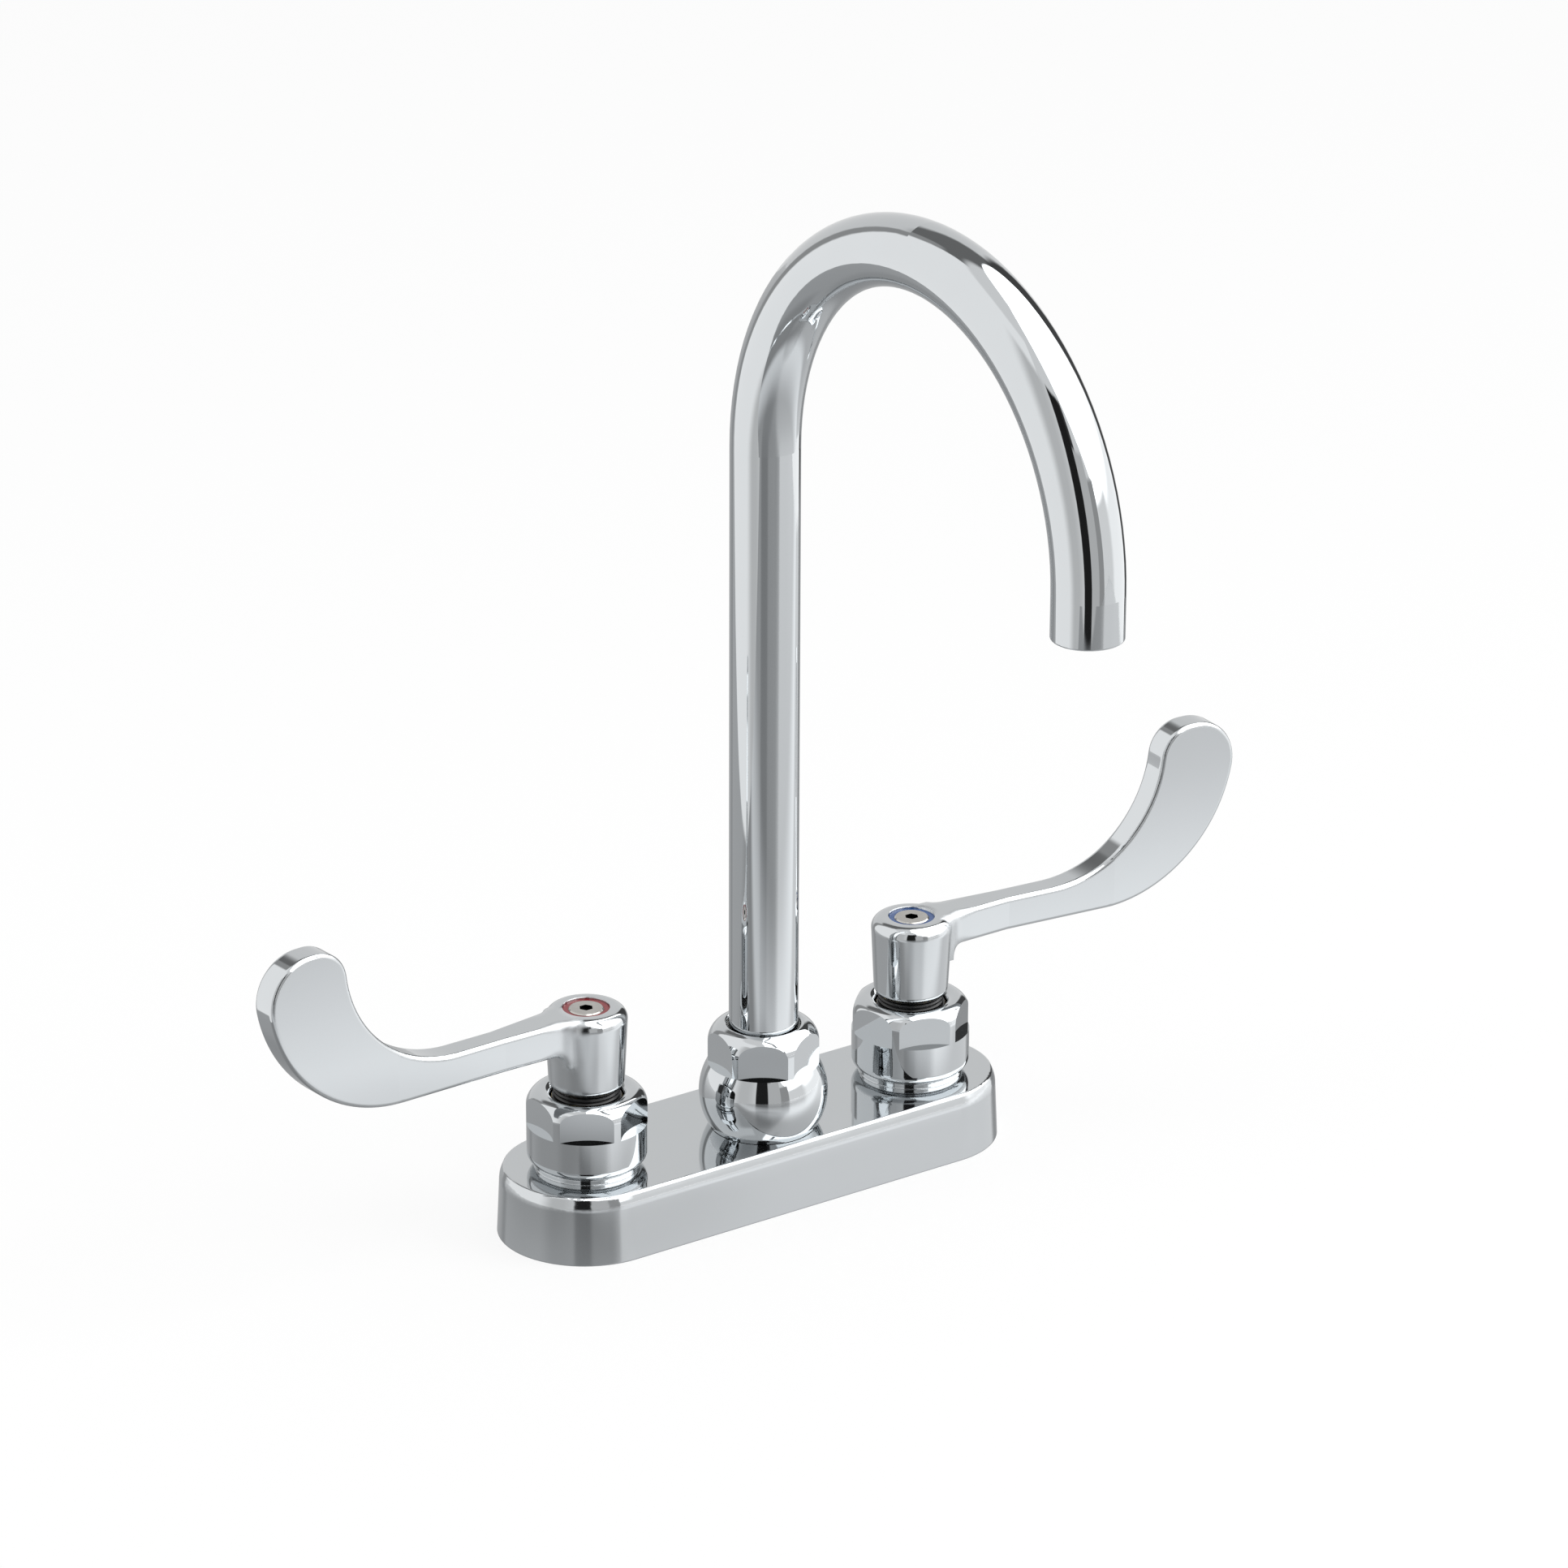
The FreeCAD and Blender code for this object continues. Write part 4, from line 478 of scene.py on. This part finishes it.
def paper_level(tree, place, xyz):
    """How bright the paper under the glass looks in chrome, from place to place."""
    level = LEFT_END_LEVEL
    for axis, start, complete, new_level in LEVEL_CHANGES:
        changed = add_node(tree, RAMP, {"Value": xyz.outputs[axis], "From Min": start,
                                        "From Max": complete}, "Result",
                           interpolation_type="SMOOTHSTEP")
        level = add_node(tree, MIX, {"Factor": changed, "A": level, "B": new_level}, "Result",
                         data_type="FLOAT")
    away = add_node(tree, VECTOR_MATH, {0: place, 1: SPOUT_SHADE_AT}, "Value", operation="DISTANCE")
    shade = add_node(tree, RAMP, {"Value": away, "From Min": SPOUT_SHADE_FULL,
                                  "From Max": SPOUT_SHADE_END, "To Min": SPOUT_SHADE_SHARE},
                     "Result", interpolation_type="SMOOTHSTEP")
    return add_node(tree, MATH, {0: level, 1: shade}, "Value", operation="MULTIPLY")


print("level changes on the sheet:", len(LEVEL_CHANGES))

# %% [markdown]
# ## The glass
# Glass is clear and lets the paper through, and mirrors more the flatter one looks along it, which
# a Fresnel node gives. Its own reflection is kept soft, so that the faucet in it stays a hint. Real
# glass has an index of 1.5, but a sheet shines from both faces, and 1.85 stands for the two.

# %% The glass
SHEET_TINT = "FBFDFF"
GLASS_INDEX = 1.85
GLASS_ROUGHNESS = 0.22


def mirrored_floor(tree):
    place = add_node(tree, "ShaderNodeTexCoord", output="Object")
    xyz = add_node(tree, SPLIT, {"Vector": place})
    outline = sheet_outline(tree, xyz.outputs["X"], xyz.outputs["Y"])
    level = paper_level(tree, place, xyz)
    glow = add_node(tree, "ShaderNodeEmission", {"Color": linear(SHEET_TINT), "Strength": level},
                    "Emission")
    gloss = add_node(tree, "ShaderNodeBsdfAnisotropic",
                     {"Color": linear("FFFFFF"), "Roughness": GLASS_ROUGHNESS}, "BSDF")
    fresnel = add_node(tree, "ShaderNodeFresnel", {"IOR": GLASS_INDEX}, "Fac")
    sheet = add_node(tree, "ShaderNodeMixShader", {0: fresnel, 1: glow, 2: gloss}, "Shader")
    beyond = add_node(tree, "ShaderNodeBsdfTransparent", output="BSDF")
    return add_node(tree, "ShaderNodeMixShader", {0: outline, 1: beyond, 2: sheet}, "Shader")


print("index of the sheet:", GLASS_INDEX)

# %% [markdown]
# ## The floor itself
# One floor has to be three things, so its shader sorts the rays by kind with Light Path. Rays from
# chrome meet the sheet of glass. To the camera four fifths of the floor is plain white, and one
# fifth is lit paper, which takes the object's soft shadow. Rays that leave a matt surface meet the
# lit paper alone. Three planes that each show to one kind of ray would do too, but planes at one
# height get in each other's way.

# %% Floor
FLOOR_HALF = 4.0
PAPER_HEX = "FCFCFC"
CAMERA_WHITE_SHARE = 0.8


def floor_material():
    material = bpy.data.materials.new("glass_over_white_paper")
    material.use_nodes = True
    tree = material.node_tree
    tree.nodes.clear()
    paper = add_node(tree, "ShaderNodeBsdfDiffuse", {"Color": linear(PAPER_HEX)}, "BSDF")
    white = add_node(tree, "ShaderNodeEmission", {"Color": linear("FFFFFF")}, "Emission")
    seen = add_node(tree, "ShaderNodeMixShader", {0: CAMERA_WHITE_SHARE, 1: paper, 2: white}, "Shader")
    rays = add_node(tree, "ShaderNodeLightPath")
    lit = add_node(tree, "ShaderNodeMixShader", {0: rays.outputs["Is Camera Ray"], 1: paper, 2: seen},
                   "Shader")
    in_mirrors = add_node(tree, MATH, {0: rays.outputs["Is Glossy Ray"],
                                       1: rays.outputs["Is Transmission Ray"]}, "Value",
                          operation="MAXIMUM")
    both = add_node(tree, "ShaderNodeMixShader", {0: in_mirrors, 1: lit, 2: mirrored_floor(tree)},
                    "Shader")
    add_node(tree, "ShaderNodeOutputMaterial", {"Surface": both})
    return material


floor_mesh = bpy.data.meshes.new("floor")
corners = [(x * FLOOR_HALF, y * FLOOR_HALF, 0) for x, y in ((-1, -1), (1, -1), (1, 1), (-1, 1))]
floor_mesh.from_pydata(corners, [], [(0, 1, 2, 3)])
floor = bpy.data.objects.new("floor", floor_mesh)
floor.data.materials.append(floor_material())
bpy.context.scene.collection.objects.link(floor)
print("floor:", 2 * FLOOR_HALF, "m wide")

# %% [markdown]
# ## The room that the chrome reflects
# Chrome is lit by what surrounds it. A tent of white cloth gives it broad pale areas, and black
# gaps between the cloths draw the crisp dark lines that make it read as metal. Both are placed by
# where they stand as seen from the faucet: a bearing, counted in degrees from the slot that the
# photographer shoots through, and an elevation. So the world's shader first turns each direction
# into these two angles. A cloth may also spread with height, for which a third value says how many
# degrees a direction lies above 20.

# %% Bearing and elevation
SPREAD_FROM = 20.0

world = bpy.data.worlds.new("tent")
bpy.context.scene.world = world
world.use_nodes = True
room = world.node_tree
room.nodes.clear()

toward = add_node(room, "ShaderNodeTexCoord", output="Generated")
turned = add_node(room, "ShaderNodeVectorRotate",
                  {"Vector": toward, "Axis": (0, 0, 1), "Angle": -CAMERA_SIDE}, "Vector",
                  rotation_type="AXIS_ANGLE")
look = add_node(room, SPLIT, {"Vector": turned})
turn = add_node(room, MATH, {0: look.outputs["Y"], 1: look.outputs["X"]}, "Value", operation="ARCTAN2")
bearing = add_node(room, MATH, {0: turn}, "Value", operation="DEGREES")
rise = add_node(room, MATH, {0: look.outputs["Z"]}, "Value", operation="ARCSINE")
elevation = add_node(room, MATH, {0: rise}, "Value", operation="DEGREES")
over = add_node(room, MATH, {0: elevation, 1: SPREAD_FROM}, "Value", operation="SUBTRACT")
above = add_node(room, MATH, {0: over, 1: 0.0}, "Value", operation="MAXIMUM")
print("bearings are counted from", round(math.degrees(CAMERA_SIDE)), "degrees")

# %% [markdown]
# ## Cards
# Each cloth or gap is one card. A picture of a studio could light the scene as well, but a card in
# a shader can be moved by itself. The top of the tent is there first, and the cards are put on one
# after another, so that a later one covers an earlier.

# %% Studio cards
TENT_TOP = 0.98
# name, middle bearing, half width, widening per degree above 20 degrees, lowest and highest
# elevation (-91 and 91 leave that end open), brightness, softness of the sides and of the ends
CARDS = [
    ("back cloth", 194.0, 31.0, 0.0, -91.0, 38.0, 0.87, 6.0, 5.0),
    ("dark above the back cloth", 194.0, 38.0, 0.0, 38.0, 66.0, 0.20, 6.0, 6.0),
    ("gap beside the back cloth", 150.0, 11.0, 0.0, -91.0, 60.0, 0.08, 5.0, 5.0),
    ("fold beside the left cloth", 227.0, 7.0, 0.0, -91.0, 55.0, 0.40, 4.0, 5.0),
    ("left cloth", 283.5, 52.0, 0.0, -91.0, 66.0, 1.25, 4.0, 5.0),
    ("left cloth, far end", 325.0, 17.0, 0.0, -91.0, 50.0, 0.75, 22.0, 8.0),
    ("right softbox", 91.0, 46.0, 0.84, -91.0, 91.0, 3.4, 3.0, 3.0),
    ("table edge below the softbox", 91.0, 46.0, 0.0, -91.0, 11.5, 1.45, 3.0, 14.0),
    ("table edge, near end", 62.0, 18.0, 0.0, -91.0, 14.0, 1.05, 12.0, 5.0),
    ("dark edge of the softbox", 38.5, 8.0, 0.0, -91.0, 23.0, 0.43, 2.0, 3.0),
    ("front cloth", 19.0, 12.0, 0.0, -91.0, 32.0, 0.68, 2.0, 3.0),
    ("dark above the front cloth", 8.0, 7.0, 0.0, 32.0, 50.0, 0.05, 3.0, 3.0),
    ("camera slot", -2.5, 11.0, 0.0, -91.0, 50.0, 0.02, 2.0, 3.0),
]

brightness = TENT_TOP
for name, middle, half, widening, low, high, level, side_soft, end_soft in CARDS:
    offset = add_node(room, MATH, {0: bearing, 1: middle}, "Value", operation="SUBTRACT")
    wrapped = add_node(room, MATH, {0: offset, 1: 180.0, 2: -180.0}, "Value", operation="WRAP")
    aside = add_node(room, MATH, {0: wrapped}, "Value", operation="ABSOLUTE")
    spread = add_node(room, MATH, {0: above, 1: widening}, "Value", operation="MULTIPLY")
    reach = add_node(room, MATH, {0: aside, 1: spread}, "Value", operation="SUBTRACT")
    mask = 1.0
    for angle, gone, whole in ((reach, half + side_soft / 2, half - side_soft / 2),
                               (elevation, high + end_soft / 2, high - end_soft / 2),
                               (elevation, low - end_soft / 2, low + end_soft / 2)):
        within = add_node(room, RAMP, {"Value": angle, "From Min": gone, "From Max": whole},
                          "Result", interpolation_type="SMOOTHSTEP")
        mask = add_node(room, MATH, {0: mask, 1: within}, "Value", operation="MULTIPLY")
    brightness = add_node(room, MIX, {"Factor": mask, "A": brightness, "B": level}, "Result",
                          data_type="FLOAT")
print("cards in the tent:", len(CARDS))

# %% [markdown]
# ## Plain light for everything else
# The cards are bright enough to burn out in the chrome, as they do in the photograph, and would
# flood a red ring or a rubber washer. Rays that leave a matt surface therefore meet an even white
# room, in which a colour renders as it is written, and the camera itself sees white.

# %% World output
ROOM_LEVEL = 0.80
rays = add_node(room, "ShaderNodeLightPath")
in_chrome = add_node(room, MATH, {0: rays.outputs["Is Glossy Ray"],
                                  1: rays.outputs["Is Transmission Ray"]}, "Value",
                     operation="MAXIMUM")
plain = add_node(room, MIX, {"Factor": rays.outputs["Is Camera Ray"], "A": ROOM_LEVEL, "B": 1.0},
                 "Result", data_type="FLOAT")
strength = add_node(room, MIX, {"Factor": in_chrome, "A": plain, "B": brightness}, "Result",
                    data_type="FLOAT")
sky = add_node(room, "ShaderNodeBackground", {"Color": linear("FFFFFF"), "Strength": strength},
               "Background")
add_node(room, "ShaderNodeOutputWorld", {"Surface": sky})
print("room level for matt surfaces:", ROOM_LEVEL)

# %% [markdown]
# ## Lamps
# Two broad lamps give matt surfaces and the floor a direction of light: a larger one from the
# softbox's side and a weaker one from the left. The room's even light alone would do for the
# colours, but it comes from everywhere and models nothing. The lamps are hidden from reflections,
# because there the cards already stand in for them.

# %% Lamps
# name, place in metres, width in metres, power in watts
LAMP_TARGET = Vector((0, 0, 0.08))
LAMPS = [
    ("right_lamp", (0.75, -0.70, 0.95), 0.9, 5.0),
    ("left_lamp", (-0.95, 0.25, 0.70), 0.7, 2.2),
]
for name, place, width, power in LAMPS:
    light = bpy.data.lights.new(name, "AREA")
    light.shape = "DISK"
    light.size = width
    light.energy = power
    lamp = bpy.data.objects.new(name, light)
    lamp.location = place
    lamp.rotation_euler = (LAMP_TARGET - lamp.location).to_track_quat("-Z", "Y").to_euler()
    lamp.visible_glossy = False
    bpy.context.scene.collection.objects.link(lamp)
print("lamps:", len(LAMPS))

# %% [markdown]
# ## Camera
# The photograph was taken from the front left, about 22 degrees above the deck, with a long lens
# from 1.8 m away. These numbers come from matching measured outlines of the tube, the rings and
# the base with the picture fixed at 1932 pixels square.

# %% Camera
CAMERA_PLACE = (-0.949363, -1.351715, 0.787197)
HEADING = math.radians(-35.365)
LOOKING_DOWN = math.radians(22.286)
ROLL = math.radians(0.245)
LENS_MM = 162.0
SENSOR_MM = 36.0

lens = bpy.data.cameras.new("camera")
lens.sensor_width = SENSOR_MM
lens.lens = LENS_MM
lens.clip_start = 0.05
lens.clip_end = 50.0
camera = bpy.data.objects.new("camera", lens)
camera.matrix_world = (Matrix.Translation(CAMERA_PLACE) @ Matrix.Rotation(HEADING, 4, "Z")
                       @ Matrix.Rotation(math.pi / 2 - LOOKING_DOWN, 4, "X")
                       @ Matrix.Rotation(ROLL, 4, "Z"))
bpy.context.scene.collection.objects.link(camera)
bpy.context.scene.camera = camera
bpy.context.scene.view_settings.view_transform = "Standard"
print("camera distance:", round(Vector(CAMERA_PLACE).length, 3), "m")
